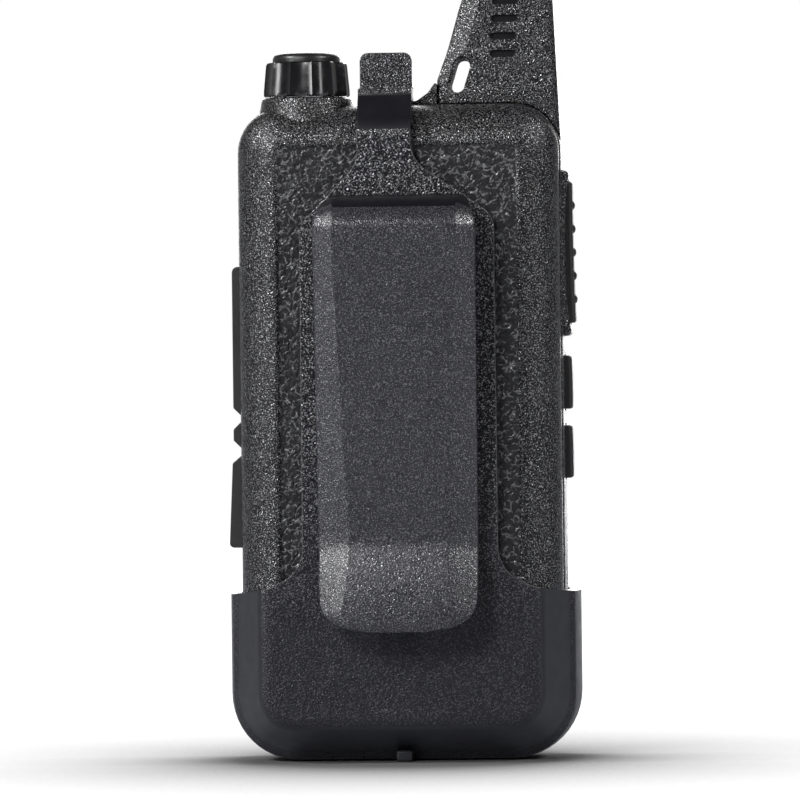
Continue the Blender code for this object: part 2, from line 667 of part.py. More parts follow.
def volume_control():
    axis = (KNOB_X, KNOB_Y)
    count = KNOB_FLUTES * FLUTE_STEPS
    rings = []
    for z, radius in ((KNOB_LOW, KNOB_RADIUS), (KNOB_HIGH - 0.4, KNOB_RADIUS - 0.3), (KNOB_HIGH, KNOB_RADIUS - 0.7)):
        ring = []
        for k in range(count):
            angle = math.tau * k / count
            share = (k % FLUTE_STEPS) / FLUTE_STEPS
            reach = radius - FLUTE_DEPTH * math.sin(math.pi * share)
            ring.append((KNOB_X + reach * math.cos(angle), KNOB_Y + reach * math.sin(angle), z))
        rings.append(ring)
    knob = loft("volume_knob", rings, "knob_plastic", origin=(*axis, KNOB_LOW))
    cut(
        knob,
        cylinder("knob_skirt", (*axis, 95), (*axis, 104.0), 5.5, segments=28),
        cylinder("knob_bore", (*axis, 95), (*axis, 106.0), SHAFT_RADIUS + GAP, segments=20),
        cylinder("cap_seat", (*axis, 106.5), (*axis, 112), 5.5, segments=32),
    )
    cap = ((5.2, 106.8), (5.2, 107.8), (4.7, 108.4), (4.0, 108.6), (3.4, 108.6), (3.2, 108.4), (0.0, 108.4))
    turned("knob_cap", [(0.0, 108.4), *reversed(cap[:-1]), (0.0, 106.8)], (*axis, 0), (0, 0, 1), "knob_plastic")
    cylinder("pot_shaft", (*axis, 97.5), (*axis, 105.7), SHAFT_RADIUS, "steel", segments=20, origin=(*axis, 97.5))
    pot = box("volume_pot", (KNOB_X - 5.0, KNOB_Y - 4.4, 89.8), (KNOB_X + 5.0, KNOB_Y + 3.6, 97.0), "steel", 0.3)
    join(pot, cylinder("pot_bushing", (*axis, 96.5), (*axis, 103.6), 3.5, segments=20))
    cut(pot, cylinder("pot_bore", (*axis, 97.2), (*axis, 105), SHAFT_RADIUS + GAP, segments=20))
    nut = cylinder("pot_nut", (*axis, COLLAR_TOP + GAP), (*axis, 103.3), 4.9, "steel", segments=6)
    cut(nut, cylinder("nut_bore", (*axis, 99), (*axis, 106), 3.8, segments=20))


# ---------------------------------------------------------------- side controls


def ptt_button():
    """The talk button: a slightly hollow bar with five ribs and a flange that keeps it in the case."""
    rings = []
    for share in (0.0, 0.04, 0.25, 0.5, 0.75, 0.96, 1.0):
        z = PTT_LOW + (PTT_HIGH - PTT_LOW) * share
        hollow = 0.35 * (1 - (2 * share - 1) ** 2)
        trim = 0.4 if share in (0.0, 1.0) else 0.0
        outer = -26.75 + 0.25 * share + hollow + trim
        front, back = KEY_Y - PTT_HALF, KEY_Y + PTT_HALF
        rings.append([(-22.6, front, z), (outer + 0.4, front, z), (outer, front + 0.5, z),
                      (outer, back - 0.5, z), (outer + 0.4, back, z), (-22.6, back, z)])
    button = loft("ptt_button", rings, "rubber")
    middle = (PTT_LOW + PTT_HIGH) / 2
    for i in range(PTT_RIBS):
        z = middle + (i - (PTT_RIBS - 1) / 2) * PTT_RIB_PITCH
        join(button, cylinder(f"ptt_rib_{i}", (-26.2, KEY_Y - 1.6, z), (-26.2, KEY_Y + 1.6, z), 0.85, segments=10))
    flange = box("ptt_flange", (-22.9, KEY_Y - PTT_HALF - 1.0, PTT_LOW - 1.0),
                 (-22.2, KEY_Y + PTT_HALF + 0.9, PTT_HIGH + 1.0))
    join(button, flange)
    return set_origin(button, (-24, KEY_Y, middle))


def side_keys():
    for name, (low, high) in KEY_SPANS.items():
        rings = []
        for share in (0.0, 0.06, 0.3, 0.7, 0.94, 1.0):
            crown = 0.45 * (1 - (2 * share - 1) ** 2)
            outer = -25.75 - crown
            z = low + (high - low) * share
            front, back = KEY_Y - KEY_HALF, KEY_Y + KEY_HALF
            rings.append([(-22.6, front, z), (outer + 0.4, front, z), (outer, front + 0.4, z),
                          (outer, back - 0.4, z), (outer + 0.4, back, z), (-22.6, back, z)])
        key = loft(name, rings, "rubber")
        flange = box(name + "_flange", (-22.9, KEY_Y - KEY_HALF - 0.9, low - 0.5),
                     (-22.3, KEY_Y + KEY_HALF + 0.9, high + 0.5))
        join(key, flange)
        set_origin(key, (-24, KEY_Y, (low + high) / 2))


def switches():
    """Push switches on the board, one behind each control."""
    heights = {"ptt_switch": (PTT_LOW + PTT_HIGH) / 2}
    for name, (low, high) in KEY_SPANS.items():
        heights[name.replace("key", "switch")] = (low + high) / 2
    for name, z in heights.items():
        body = box(name, (SWITCH_X, -4.7, z - 2.4), (-16.8, BOARD_FRONT - GAP, z + 2.4), "chip")
        join(body, box(name + "_plunger", (-21.0, -4.0, z - 1.0), (SWITCH_X + 0.5, -2.6, z + 1.0)))


# ---------------------------------------------------------------- socket cover and sockets


def cover_bar(name, corners, material="rubber"):
    """A rubber bar seen edge-on: its outline in X and Z, as wide as the cover."""
    front, back = COVER_Y - COVER_HALF, COVER_Y + COVER_HALF
    return plate(name, rounded_path(corners, 3), front, back, "XZ", material, 0.35)


def socket_cover():
    base, face, notch = COVER_BASE, COVER_FACE, 1.1
    low, high = FLAP_SPANS["accessory_flap"]
    flap = cover_bar("accessory_flap", (
        (base, low), (base + 0.5, low), (face, low + notch), (face, high, 0.8), (base, high),
    ))
    for name, (z, radius) in JACKS.items():
        plug = cylinder(f"{name}_plug", (base - 0.9, COVER_Y, z), (base + 0.6, COVER_Y, z), radius - 0.3, segments=12)
        join(flap, plug)
    set_origin(flap, (base + 0.3, COVER_Y, low - 0.5))
    low, high = FLAP_SPANS["anchor"]
    anchor = cover_bar("jack_cover_anchor", (
        (base, low), (base + 0.5, low), (face, low + notch), (face, high - notch), (base + 0.5, high), (base, high),
    ))
    join(anchor, box("anchor_stem", (22.5, COVER_Y - 0.8, 49.4), (base + 0.5, COVER_Y + 0.8, 50.9)))
    join(anchor, box("anchor_head", (22.2, COVER_Y - 1.9, 48.7), (22.85, COVER_Y + 1.9, 51.6)))
    low, high = FLAP_SPANS["charge_flap"]
    flap = cover_bar("charge_flap", (
        (base, low), (face + 0.8, low, 0.6), (face + 0.2, high - notch), (base + 0.5, high), (base, high),
    ))
    set_origin(flap, (base + 0.3, COVER_Y, high + 0.5))


def sockets():
    for name, (z, radius) in JACKS.items():
        jack = cylinder(name, (16.8, COVER_Y, z), (22.9, COVER_Y, z), 3.0, "chip", segments=20)
        cut(jack, cylinder(name + "_bore", (17.8, COVER_Y, z), (25, COVER_Y, z), radius, segments=16))
    port = box("charge_port", (17.5, CHARGE_FRONT, CHARGE_LOW), (22.9, CHARGE_BACK, CHARGE_HIGH), "steel", 0.4)
    mouth = box("charge_mouth", (18.2, CHARGE_FRONT + 0.4, CHARGE_LOW + 0.5), (24, CHARGE_BACK - 0.4, CHARGE_HIGH - 0.5))
    cut(port, mouth)


# ---------------------------------------------------------------- inside the radio


def main_board():
    outline = ((-BOARD_HALF, BOARD_LOW), (BOARD_HALF, BOARD_LOW), (BOARD_HALF, 88.4), (7.4, 88.4),
               (7.4, BOARD_HIGH), (-BOARD_HALF, BOARD_HIGH))
    board = plate("main_board", outline, BOARD_FRONT, BOARD_BACK, "XZ", "board")
    for i, (x, z) in enumerate(CASE_SCREWS):
        cut(board, cylinder(f"board_boss_room_{i}", (x, -3, z), (x, 2, z), 2.6, segments=14))
    for i, (x, z) in enumerate(BOARD_SCREWS):
        cut(board, cylinder(f"board_hole_{i}", (x, -3, z), (x, 2, z), 1.1, segments=10))
    lowest = min(z for z, _ in JACKS.values()) - 3.4
    highest = max(z for z, _ in JACKS.values()) + 3.4
    cut(board, box("board_jack_room", (16.4, -3, lowest), (25, 2, highest)))
    return board


def board_parts():
    box("shield_can", (-13.5, BOARD_BACK + GAP, 30), (13.5, 1.4, 58), "steel", 0.4)
    box("radio_chip", (-4.5, -2.9, 32), (4.5, BOARD_FRONT - GAP, 41), "chip", 0.2)
    box("status_led", (-1.5, -3.0, LED_Z - 0.8), (1.5, BOARD_FRONT - GAP, LED_Z + 0.8), "lens")
    box("led_lens", (-2.5, -10.7, LED_Z - 0.8), (2.5, -3.3, LED_Z + 0.8), "lens", 0.4)
    for i, (x, z) in enumerate(CASE_SCREWS):
        screw(f"case_screw_{i + 1}", (x, CHASSIS_BACK + GAP, z), (0, -1, 0), 8.0, 0.95, 1.9)
    for i, (x, z) in enumerate(BOARD_SCREWS):
        screw(f"board_screw_{i + 1}", (x, BOARD_BACK + GAP, z), (0, -1, 0), 5.4, 0.7, 1.5)


def speaker():
    centre = (0, 0, SPEAKER_Z)
    out = (0, 1, 0)
    radius = SPEAKER_RADIUS
    frame = ((radius, -8.0), (radius, -6.4), (8.0, -4.6), (6.0, -4.6), (6.0, -5.2), (7.6, -5.2), (13.0, -7.0), (13.0, -8.0))
    turned("speaker_frame", [*reversed(frame), frame[-1]], centre, out, "steel")
    cone = ((12.6, -8.0), (11.6, -8.35), (10.6, -7.8), (5.0, -6.1), (0.0, -6.4))
    back = [(r, y + 0.4) for r, y in reversed(cone)]
    turned("speaker_cone", [*back, *cone], centre, out, "paper_cone")
    cylinder("speaker_magnet", (0, -4.3, SPEAKER_Z), (0, -2.1, SPEAKER_Z), 7.5, "steel", segments=28, bevel=0.3)
    microphone = (MIC_X, MIC_Z)
    cylinder("microphone", (MIC_X, -8.5, microphone[1]), (MIC_X, -6.6, microphone[1]), 2.1, "steel", segments=16)
    boot = cylinder("mic_boot", (MIC_X, -8.6, MIC_Z), (MIC_X, -6.3, MIC_Z), 3.1, "rubber", segments=16)
    cut(boot, cylinder("mic_boot_bore", (MIC_X, -10, MIC_Z), (MIC_X, -5, MIC_Z), 2.4, segments=16))


def battery():
    box("battery_pack", (-17, 3.8, 13), (17, 8.4, 65), "battery_wrap", 1.2)
    for i, x in enumerate((-5.0, 0.0, 5.0)):
        low, high = (x - 1.0, CHASSIS_BACK + GAP, 65.5), (x + 1.0, 6.4, 68.2)
        box(f"battery_contact_{i + 1}", low, high, "brass", 0.3)


# ---------------------------------------------------------------- whole object


def main():
    clear_scene()
    new_collection("portable_radio")
    new_collection("cutters")
    for name in MATERIALS:
        new_material(name)
    front_case()
    speaker_grille()
    battery_cover()
    rear_chassis()
    holster_cradle()
    latch_arm()
    belt_clip()
    antenna_blade()
    antenna_inside()
    volume_control()
    ptt_button()
    side_keys()
    switches()
    socket_cover()
    sockets()
    main_board()
    board_parts()
    speaker()
    battery()


main()
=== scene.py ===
"""Looks for the portable radio in its belt-clip holster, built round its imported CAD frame.

Shapes are written in millimetres and scaled to metres. +Z is up, the back of the radio and the clip face +Y.
"""

import json
import math

import bmesh
import bpy
from mathutils import Matrix, Vector

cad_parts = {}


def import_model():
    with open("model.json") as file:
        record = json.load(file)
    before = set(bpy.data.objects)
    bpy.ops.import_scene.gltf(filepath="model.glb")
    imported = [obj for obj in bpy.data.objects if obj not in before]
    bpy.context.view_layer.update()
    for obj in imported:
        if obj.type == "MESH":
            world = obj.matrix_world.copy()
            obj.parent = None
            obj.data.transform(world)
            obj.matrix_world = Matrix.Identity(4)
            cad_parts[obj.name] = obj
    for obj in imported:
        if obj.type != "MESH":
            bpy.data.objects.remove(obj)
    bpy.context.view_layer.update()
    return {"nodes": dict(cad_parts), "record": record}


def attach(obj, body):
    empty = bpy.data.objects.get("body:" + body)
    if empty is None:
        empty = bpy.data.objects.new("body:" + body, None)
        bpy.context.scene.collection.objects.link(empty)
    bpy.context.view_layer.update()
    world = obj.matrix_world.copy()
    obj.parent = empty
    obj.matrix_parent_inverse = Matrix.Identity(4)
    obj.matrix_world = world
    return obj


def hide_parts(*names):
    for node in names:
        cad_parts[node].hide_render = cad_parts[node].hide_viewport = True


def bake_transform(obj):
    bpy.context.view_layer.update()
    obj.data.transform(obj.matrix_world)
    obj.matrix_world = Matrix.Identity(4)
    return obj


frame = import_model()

MM = 0.001
GAP = 0.3

# ---------------------------------------------------------------- sizes shared with the CAD, in millimetres

HALF_WIDTH = 25.0
BODY_LOW = 2.0
BODY_HIGH = 100.7
CORNER_LOW = 8.5
CORNER_HIGH = 7.5
RIM = 25.8
SPINE_HALF = 14.8
PLATE_BACK = 12.8
PLATE_FRONT = 10.56
NECK_LEFT = -2.3
NECK_RIGHT = 5.9
HOOK_LOW = 101.0
HOOK_TOP = 102.8
TAB_BACK = 4.6
TAB_FRONT = 2.8
TAB_TOP = 108.45
LIP = 3.4
KNOB_X, KNOB_Y = 14.2, 1.0
KNOB_LOW, KNOB_HIGH, KNOB_RADIUS = 101.9, 107.2, 6.65
BLADE_Y, BLADE_HALF, BLADE_LOW, BLADE_TOP = -1.0, 4.2, 101.05, 152.0
KEY_Y = -1.8
COVER_Y, COVER_HALF, COVER_BASE, COVER_FACE = -1.8, 3.7, 24.5, 26.05
SPEAKER_Z = 70.0
LED_Z = 89.5
MIC_X, MIC_Z = 8.0, 14.0
MARKS = (107.6, 110.3, 113.0, 115.7)  # heights of the plain bars sunk in the antenna
MARK_DEPTH = 0.55
ARC = 12  # steps in a rounded corner
TONE_SCALE, GLOSS_SCALE = 90, 420  # how fine the drift of a plastic's tone and of its gloss is
PAINTED_GLINT_SCALE = 1.05  # how fine the painted glints, pale metallic specks in the colour, are against the grain
PAINTED_GLINT_METALLIC = 0.8  # how metallic a painted glint is
FAINT_PAINTED_GLINT = 0.15  # what is left of the painted glints low on the holster
PAINTED_LIGHT_LIFT = 1.9  # how much paler the plastic is painted low on the holster: painted light on the lower cradle walls
# width of the painted edge highlight
PAINTED_EDGE_HIGHLIGHT_WIDTH = 0.25


# ---------------------------------------------------------------- mesh helpers


def link(name, mesh):
    obj = bpy.data.objects.new(name, mesh)
    bpy.context.scene.collection.objects.link(obj)
    return obj


def from_bmesh(name, bm):
    bmesh.ops.recalc_face_normals(bm, faces=bm.faces)
    bmesh.ops.scale(bm, verts=bm.verts, vec=(MM, MM, MM))
    mesh = bpy.data.meshes.new(name)
    bm.to_mesh(mesh)
    bm.free()
    return link(name, mesh)


def loft(name, rings, caps=True):
    bm = bmesh.new()
    rows = [[bm.verts.new(point) for point in ring] for ring in rings]
    count = len(rows[0])
    for here, there in zip(rows, rows[1:]):
        for i in range(count):
            j = (i + 1) % count
            bm.faces.new((here[i], here[j], there[j], there[i]))
    if caps:
        bm.faces.new(rows[0])
        bm.faces.new(rows[-1])
    return from_bmesh(name, bm)


def box(name, low, high):
    bm = bmesh.new()
    low, high = Vector(low), Vector(high)
    matrix = Matrix.Translation((low + high) / 2) @ Matrix.Diagonal((*(high - low), 1.0))
    bmesh.ops.create_cube(bm, size=1.0, matrix=matrix)
    return from_bmesh(name, bm)


def cylinder(name, start, end, radius, segments=48):
    bm = bmesh.new()
    start, end = Vector(start), Vector(end)
    turn = (end - start).to_track_quat("Z", "Y").to_matrix().to_4x4()
    bmesh.ops.create_cone(
        bm, cap_ends=True, segments=segments, radius1=radius, radius2=radius, depth=(end - start).length,
        matrix=Matrix.Translation((start + end) / 2) @ turn,
    )
    return from_bmesh(name, bm)


def turned(name, profile, base, direction, segments=96):
    """A profile of (radius, height) pairs spun round an axis; it starts and ends on the axis or closes on itself."""
    turn = Vector(direction).to_track_quat("Z", "Y").to_matrix()
    rings = []
    for k in range(segments):
        angle = math.tau * k / segments
        rings.append([
            Vector(base) + turn @ Vector((r * math.cos(angle), r * math.sin(angle), h)) for r, h in profile
        ])
    bm = bmesh.new()
    rows = [[bm.verts.new(point) for point in ring] for ring in rings]
    for k in range(segments):
        here, there = rows[k], rows[(k + 1) % segments]
        for i in range(len(profile) - 1):
            bm.faces.new((here[i], here[i + 1], there[i + 1], there[i]))
    bmesh.ops.remove_doubles(bm, verts=bm.verts, dist=0.0005)
    return from_bmesh(name, bm)


def rounded_path(corners, steps=ARC):
    points = []
    count = len(corners)
    for i, corner in enumerate(corners):
        here = Vector(corner[:2])
        radius = corner[2] if len(corner) > 2 else 0.0
        if not radius:
            points.append(here)
            continue
        before = (Vector(corners[i - 1][:2]) - here).normalized()
        after = (Vector(corners[(i + 1) % count][:2]) - here).normalized()
        half = before.angle(after) / 2
        centre = here + (before + after).normalized() * (radius / math.sin(half))
        first = here + before * (radius / math.tan(half)) - centre
        turn = first.angle_signed(here + after * (radius / math.tan(half)) - centre)
        for k in range(steps + 1):
            points.append(centre + Matrix.Rotation(-turn * k / steps, 2) @ first)
    return points


def curve_through(points, steps=5):
    """A smooth open curve through the points, each a tuple of any length."""
    count = len(points)
    out = []
    for i in range(count - 1):
        before = points[max(i - 1, 0)]
        here, there = points[i], points[i + 1]
        after = points[min(i + 2, count - 1)]
        for k in range(steps):
            t = k / steps
            out.append(tuple(
                0.5 * (2 * b + (c - a) * t + (2 * a - 5 * b + 4 * c - d) * t * t + (3 * b - a - 3 * c + d) * t ** 3)
                for a, b, c, d in zip(before, here, there, after)
            ))
    out.append(tuple(points[-1]))
    return out


def plate(name, outline, low, high, plane):
    """A flat outline given thickness along the third axis."""
    bm = bmesh.new()
    rows = []
    for depth in (low, high):
        if plane == "XZ":
            points = [(u, depth, v) for u, v in outline]
        elif plane == "YZ":
            points = [(depth, u, v) for u, v in outline]
        else:
            points = [(u, v, depth) for u, v in outline]
        rows.append([bm.verts.new(point) for point in points])
    count = len(outline)
    for i in range(count):
        j = (i + 1) % count
        bm.faces.new((rows[0][i], rows[0][j], rows[1][j], rows[1][i]))
    bm.faces.new(rows[0])
    bm.faces.new(rows[1])
    return from_bmesh(name, bm)


def apply_modifiers(obj):
    graph = bpy.context.evaluated_depsgraph_get()
    mesh = bpy.data.meshes.new_from_object(obj.evaluated_get(graph), depsgraph=graph)
    obj.modifiers.clear()
    old = obj.data
    obj.data = mesh
    mesh.name = old.name
    bpy.data.meshes.remove(old)
    return obj


def boolean(obj, others, operation):
    for other in others:
        modifier = obj.modifiers.new("cut", "BOOLEAN")
        modifier.operation = operation
        modifier.solver = "EXACT"
        modifier.object = other
    apply_modifiers(obj)
    for other in others:
        bpy.data.objects.remove(other)
    return obj


def cut(obj, *others):
    return boolean(obj, others, "DIFFERENCE")


def join(obj, *others):
    return boolean(obj, others, "UNION")


def bevelled(obj, width, segments=3, angle=35):
    modifier = obj.modifiers.new("edges", "BEVEL")
    modifier.width = width * MM
    modifier.segments = segments
    modifier.limit_method = "ANGLE"
    modifier.angle_limit = math.radians(angle)
    modifier.harden_normals = False
    return apply_modifiers(obj)


def soften(obj, width, segments, angle, skip):
    """Rounds the edges sharper than angle, apart from those that skip(point in mm) names."""
    mesh = obj.data
    bm = bmesh.new()
    bm.from_mesh(mesh)
    layer = bm.edges.layers.float.new("bevel_weight_edge")
    for edge in bm.edges:
        if edge.is_manifold and edge.calc_face_angle() > math.radians(angle):
            if not skip((edge.verts[0].co + edge.verts[1].co) / 2 / MM):
                edge[layer] = 1.0
    bm.to_mesh(mesh)
    bm.free()
    modifier = obj.modifiers.new("edges", "BEVEL")
    modifier.width = width * MM
    modifier.segments = segments
    modifier.limit_method = "WEIGHT"
    return apply_modifiers(obj)


def mended(obj):
    """Merges the points that a cut left on top of each other and closes the slits between them."""
    bm = bmesh.new()
    bm.from_mesh(obj.data)
    bmesh.ops.remove_doubles(bm, verts=bm.verts, dist=0.002 * MM)
    bmesh.ops.holes_fill(bm, edges=[edge for edge in bm.edges if edge.is_boundary], sides=0)
    bm.to_mesh(obj.data)
    bm.free()
    return obj


def smooth(obj, angle=32, weighted=True):
    mesh = obj.data
    mesh.shade_smooth()
    mesh.set_sharp_from_angle(angle=math.radians(angle))
    if weighted:
        modifier = obj.modifiers.new("normals", "WEIGHTED_NORMAL")
        modifier.keep_sharp = True
        modifier.weight = 80
    return obj


def rounded_distance(x, z):
    """How far inside the radio's outline a point lies."""
    middle = (BODY_LOW + BODY_HIGH) / 2
    radius = CORNER_HIGH if z > middle else CORNER_LOW
    qx = abs(x) - (HALF_WIDTH - radius)
    qz = abs(z - middle) - ((BODY_HIGH - BODY_LOW) / 2 - radius)
    outside = math.hypot(max(qx, 0.0), max(qz, 0.0)) + min(max(qx, qz), 0.0) - radius
    return -outside


def paint(obj, *materials, choose=None):
    """Gives the piece its materials, and each face the one that choose(centre in mm, normal) names."""
    obj.data.materials.clear()
    for material in materials:
        obj.data.materials.append(material)
    for polygon in obj.data.polygons:
        polygon.material_index = choose(polygon.center / MM, polygon.normal) if choose else 0
    return obj


def stand_for(obj, body, slot, *nodes):
    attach(obj, body)
    if nodes:
        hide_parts(*nodes)
    return obj


# ---------------------------------------------------------------- materials


class Nodes:
    """Builds one procedural material."""

    def __init__(self, name):
        self.material = bpy.data.materials.new(name)
        self.material.use_nodes = True
        self.tree = self.material.node_tree
        self.shader = self.tree.nodes["Principled BSDF"]
        self.where = self.add("ShaderNodeTexCoord").outputs["Object"]

    def add(self, kind, **settings):
        node = self.tree.nodes.new(kind)
        for key, value in settings.items():
            setattr(node, key, value)
        return node

    def link(self, source, target):
        self.tree.links.new(source, target)

    def noise(self, scale, detail=2.0, roughness=0.5, vector=None):
        node = self.add("ShaderNodeTexNoise")
        node.inputs["Scale"].default_value = scale
        node.inputs["Detail"].default_value = detail
        node.inputs["Roughness"].default_value = roughness
        self.link(vector or self.where, node.inputs["Vector"])
        return node.outputs["Fac"]

    def voronoi(self, scale, feature="F1", vector=None):
        node = self.add("ShaderNodeTexVoronoi", feature=feature)
        node.inputs["Scale"].default_value = scale
        self.link(vector or self.where, node.inputs["Vector"])
        return node.outputs["Distance"]

    def ranged(self, value, low, high, to_low, to_high, smooth_step=False):
        node = self.add("ShaderNodeMapRange")
        if smooth_step:
            node.interpolation_type = "SMOOTHSTEP"
        for key, number in zip(("From Min", "From Max", "To Min", "To Max"), (low, high, to_low, to_high)):
            node.inputs[key].default_value = number
        self.link(value, node.inputs["Value"])
        return node.outputs["Result"]

    def maths(self, operation, first, second):
        node = self.add("ShaderNodeMath", operation=operation)
        for socket, value in zip(node.inputs, (first, second)):
            if isinstance(value, (int, float)):
                socket.default_value = value
            else:
                self.link(value, socket)
        return node.outputs[0]

    def mix(self, factor, first, second):
        node = self.add("ShaderNodeMix", data_type="RGBA")
        self.link(factor, node.inputs["Factor"])
        for socket, colour in ((node.inputs["A"], first), (node.inputs["B"], second)):
            if isinstance(colour, tuple):
                socket.default_value = (*colour, 1.0)
            else:
                self.link(colour, socket)
        return node.outputs["Result"]

    def bump(self, height, strength, distance, normal=None):
        node = self.add("ShaderNodeBump")
        node.inputs["Strength"].default_value = strength
        node.inputs["Distance"].default_value = distance
        self.link(height, node.inputs["Height"])
        if normal:
            self.link(normal, node.inputs["Normal"])
        return node.outputs["Normal"]

    def rounded(self, radius):
        node = self.add("ShaderNodeBevel")
        node.samples = 4
        node.inputs["Radius"].default_value = radius
        return node.outputs["Normal"]

    def corners(self, radius):
        """1 on sharp edges, 0 on flat faces."""
        geometry = self.add("ShaderNodeNewGeometry")
        both = self.add("ShaderNodeVectorMath", operation="DOT_PRODUCT")
        self.link(self.rounded(radius), both.inputs[0])
        self.link(geometry.outputs["Normal"], both.inputs[1])
        return self.ranged(both.outputs["Value"], 0.9, 0.99, 1.0, 0.0)


def plastic(name, dark, light, rough, grain, scale, edge=0.0, specular=0.5, painted_glint=0.0, rim=0.0, painted_light_heights=None):
    """Moulded plastic: two tones, uneven gloss, spark-eroded grain and softened edges.

    grain is the grain's depth and edge the edges' radius, both in mm. fleck is how bright the painted glints are:
    pale, partly metallic specks in the colour that stand in for the light the grain catches. rim is how pale the
    edges are painted, a painted highlight along them. Between the two heights of calm, in metres, the painted glints
    grow from faint to full, and towards the lower height the plastic is painted paler: painted light on the lower
    cradle walls.
    """
    n = Nodes(name)
    tone = n.ranged(n.noise(TONE_SCALE, 3.0), 0.35, 0.65, 0.0, 1.0)
    colour = n.mix(tone, dark, light)
    if painted_glint:
        # Painted glints: pale, partly metallic specks in the colour, standing in for the light the grain catches.
        points = n.ranged(n.noise(scale * PAINTED_GLINT_SCALE, 0.0), 0.54, 0.74, 0.0, 1.0)
        # Low on the holster the painted glints fade and the plastic is painted paler: painted light on the cradle
        # walls.
        if painted_light_heights:
            split = n.add("ShaderNodeSeparateXYZ")
            n.link(n.where, split.inputs[0])
            points = n.maths("MULTIPLY", points, n.ranged(split.outputs["Z"], *painted_light_heights, FAINT_PAINTED_GLINT, 1.0))
            painted_lit_tone = tuple(PAINTED_LIGHT_LIFT * part for part in light)
            colour = n.mix(n.ranged(split.outputs["Z"], *painted_light_heights, 0.0, 1.0), painted_lit_tone, colour)
        colour = n.mix(points, colour, (painted_glint, painted_glint, painted_glint * 1.03))
        n.link(n.maths("MULTIPLY", points, PAINTED_GLINT_METALLIC), n.shader.inputs["Metallic"])
    # Painted highlight: the sharp edges are painted pale.
    if rim:
        colour = n.mix(n.corners(PAINTED_EDGE_HIGHLIGHT_WIDTH * MM), colour, (rim, rim, rim))
    n.link(colour, n.shader.inputs["Base Color"])
    gloss = n.ranged(n.noise(GLOSS_SCALE, 3.0), 0.3, 0.7, rough - 0.04, rough + 0.06)
    n.link(gloss, n.shader.inputs["Roughness"])
    n.shader.inputs["Specular IOR Level"].default_value = specular
    domes = n.ranged(n.voronoi(scale * 0.75, "SMOOTH_F1"), 0.0, 0.8, 1.0, 0.0)
    height = n.maths("ADD", n.noise(scale, 0.0), n.maths("MULTIPLY", domes, 0.35))
    normal = n.rounded(edge * MM) if edge else None
    n.link(n.bump(height, 1.0, grain * MM, normal), n.shader.inputs["Normal"])
    return n.material


def leather(name):
    """The back panel's moulded leather grain: small pebbles between fine creases, with painted glints along their
    rims.
    """
    n = Nodes(name)
    swirl = n.add("ShaderNodeTexNoise")
    swirl.inputs["Scale"].default_value = 420
    n.link(n.where, swirl.inputs["Vector"])
    shift = n.add("ShaderNodeVectorMath", operation="SCALE")
    shift.inputs["Scale"].default_value = 0.0016
    n.link(swirl.outputs["Color"], shift.inputs[0])
    moved = n.add("ShaderNodeVectorMath", operation="ADD")
    n.link(n.where, moved.inputs[0])
    n.link(shift.outputs[0], moved.inputs[1])
    vector = moved.outputs[0]
    wide = n.ranged(n.voronoi(540, "DISTANCE_TO_EDGE", vector), 0.0, 0.16, 0.0, 1.0, True)
    narrow = n.ranged(n.voronoi(1350, "DISTANCE_TO_EDGE", vector), 0.0, 0.3, 0.0, 1.0, True)
    broken = n.ranged(n.noise(760, 1.0), 0.4, 0.58, 0.15, 1.0)
    patchy = n.ranged(n.noise(330, 1.0), 0.4, 0.6, 0.2, 1.0)
    fine = n.maths("MULTIPLY", n.maths("MULTIPLY", narrow, patchy), 0.7)
    height = n.maths("ADD", n.maths("MULTIPLY", wide, broken), fine)
    # Painted glints: pale, partly metallic streaks in the colour along the crests of the grain.
    painted_crest_glints = n.ranged(n.voronoi(980, "DISTANCE_TO_EDGE", vector), 0.02, 0.11, 1.0, 0.0)
    painted_crest_glints = n.maths("MULTIPLY", painted_crest_glints, n.ranged(n.noise(1300, 1.0), 0.48, 0.62, 0.0, 1.0))
    # The creases are painted darker than the pebbles: painted shade in them.
    colour = n.mix(wide, (0.005, 0.005, 0.006), (0.009, 0.009, 0.011))
    n.link(n.mix(painted_crest_glints, colour, (0.22, 0.22, 0.225)), n.shader.inputs["Base Color"])
    n.link(n.maths("MULTIPLY", painted_crest_glints, PAINTED_GLINT_METALLIC), n.shader.inputs["Metallic"])
    n.link(n.ranged(n.noise(300), 0.3, 0.7, 0.3, 0.4), n.shader.inputs["Roughness"])
    first = n.bump(height, 1.0, 0.00006)
    n.link(n.bump(n.noise(3600, 1.0), 1.0, 0.00004, first), n.shader.inputs["Normal"])
    return n.material


def metal(name, dark, light, rough):
    n = Nodes(name)
    stretch = n.add("ShaderNodeMapping")
    stretch.inputs["Scale"].default_value = (1.0, 1.0, 30.0)
    n.link(n.where, stretch.inputs["Vector"])
    streaks = n.noise(160, 3.0, 0.6, stretch.outputs["Vector"])
    n.link(n.mix(streaks, dark, light), n.shader.inputs["Base Color"])
    n.link(n.ranged(streaks, 0.2, 0.8, rough - 0.08, rough + 0.1), n.shader.inputs["Roughness"])
    n.link(n.bump(streaks, 0.15, 0.00003), n.shader.inputs["Normal"])
    n.shader.inputs["Metallic"].default_value = 1.0
    return n.material


def circuit_board(name):
    n = Nodes(name)
    pads = n.ranged(n.voronoi(420, "F1"), 0.16, 0.2, 1.0, 0.0)
    tracks = n.ranged(n.voronoi(210, "DISTANCE_TO_EDGE"), 0.03, 0.05, 1.0, 0.0)
    copper = n.maths("MAXIMUM", n.maths("MULTIPLY", tracks, 0.35), pads)
    n.link(n.mix(copper, (0.01, 0.09, 0.035), (0.45, 0.36, 0.16)), n.shader.inputs["Base Color"])
    n.link(n.bump(copper, 0.4, 0.00005), n.shader.inputs["Normal"])
    n.link(n.ranged(n.noise(500), 0.3, 0.7, 0.25, 0.4), n.shader.inputs["Roughness"])
    return n.material


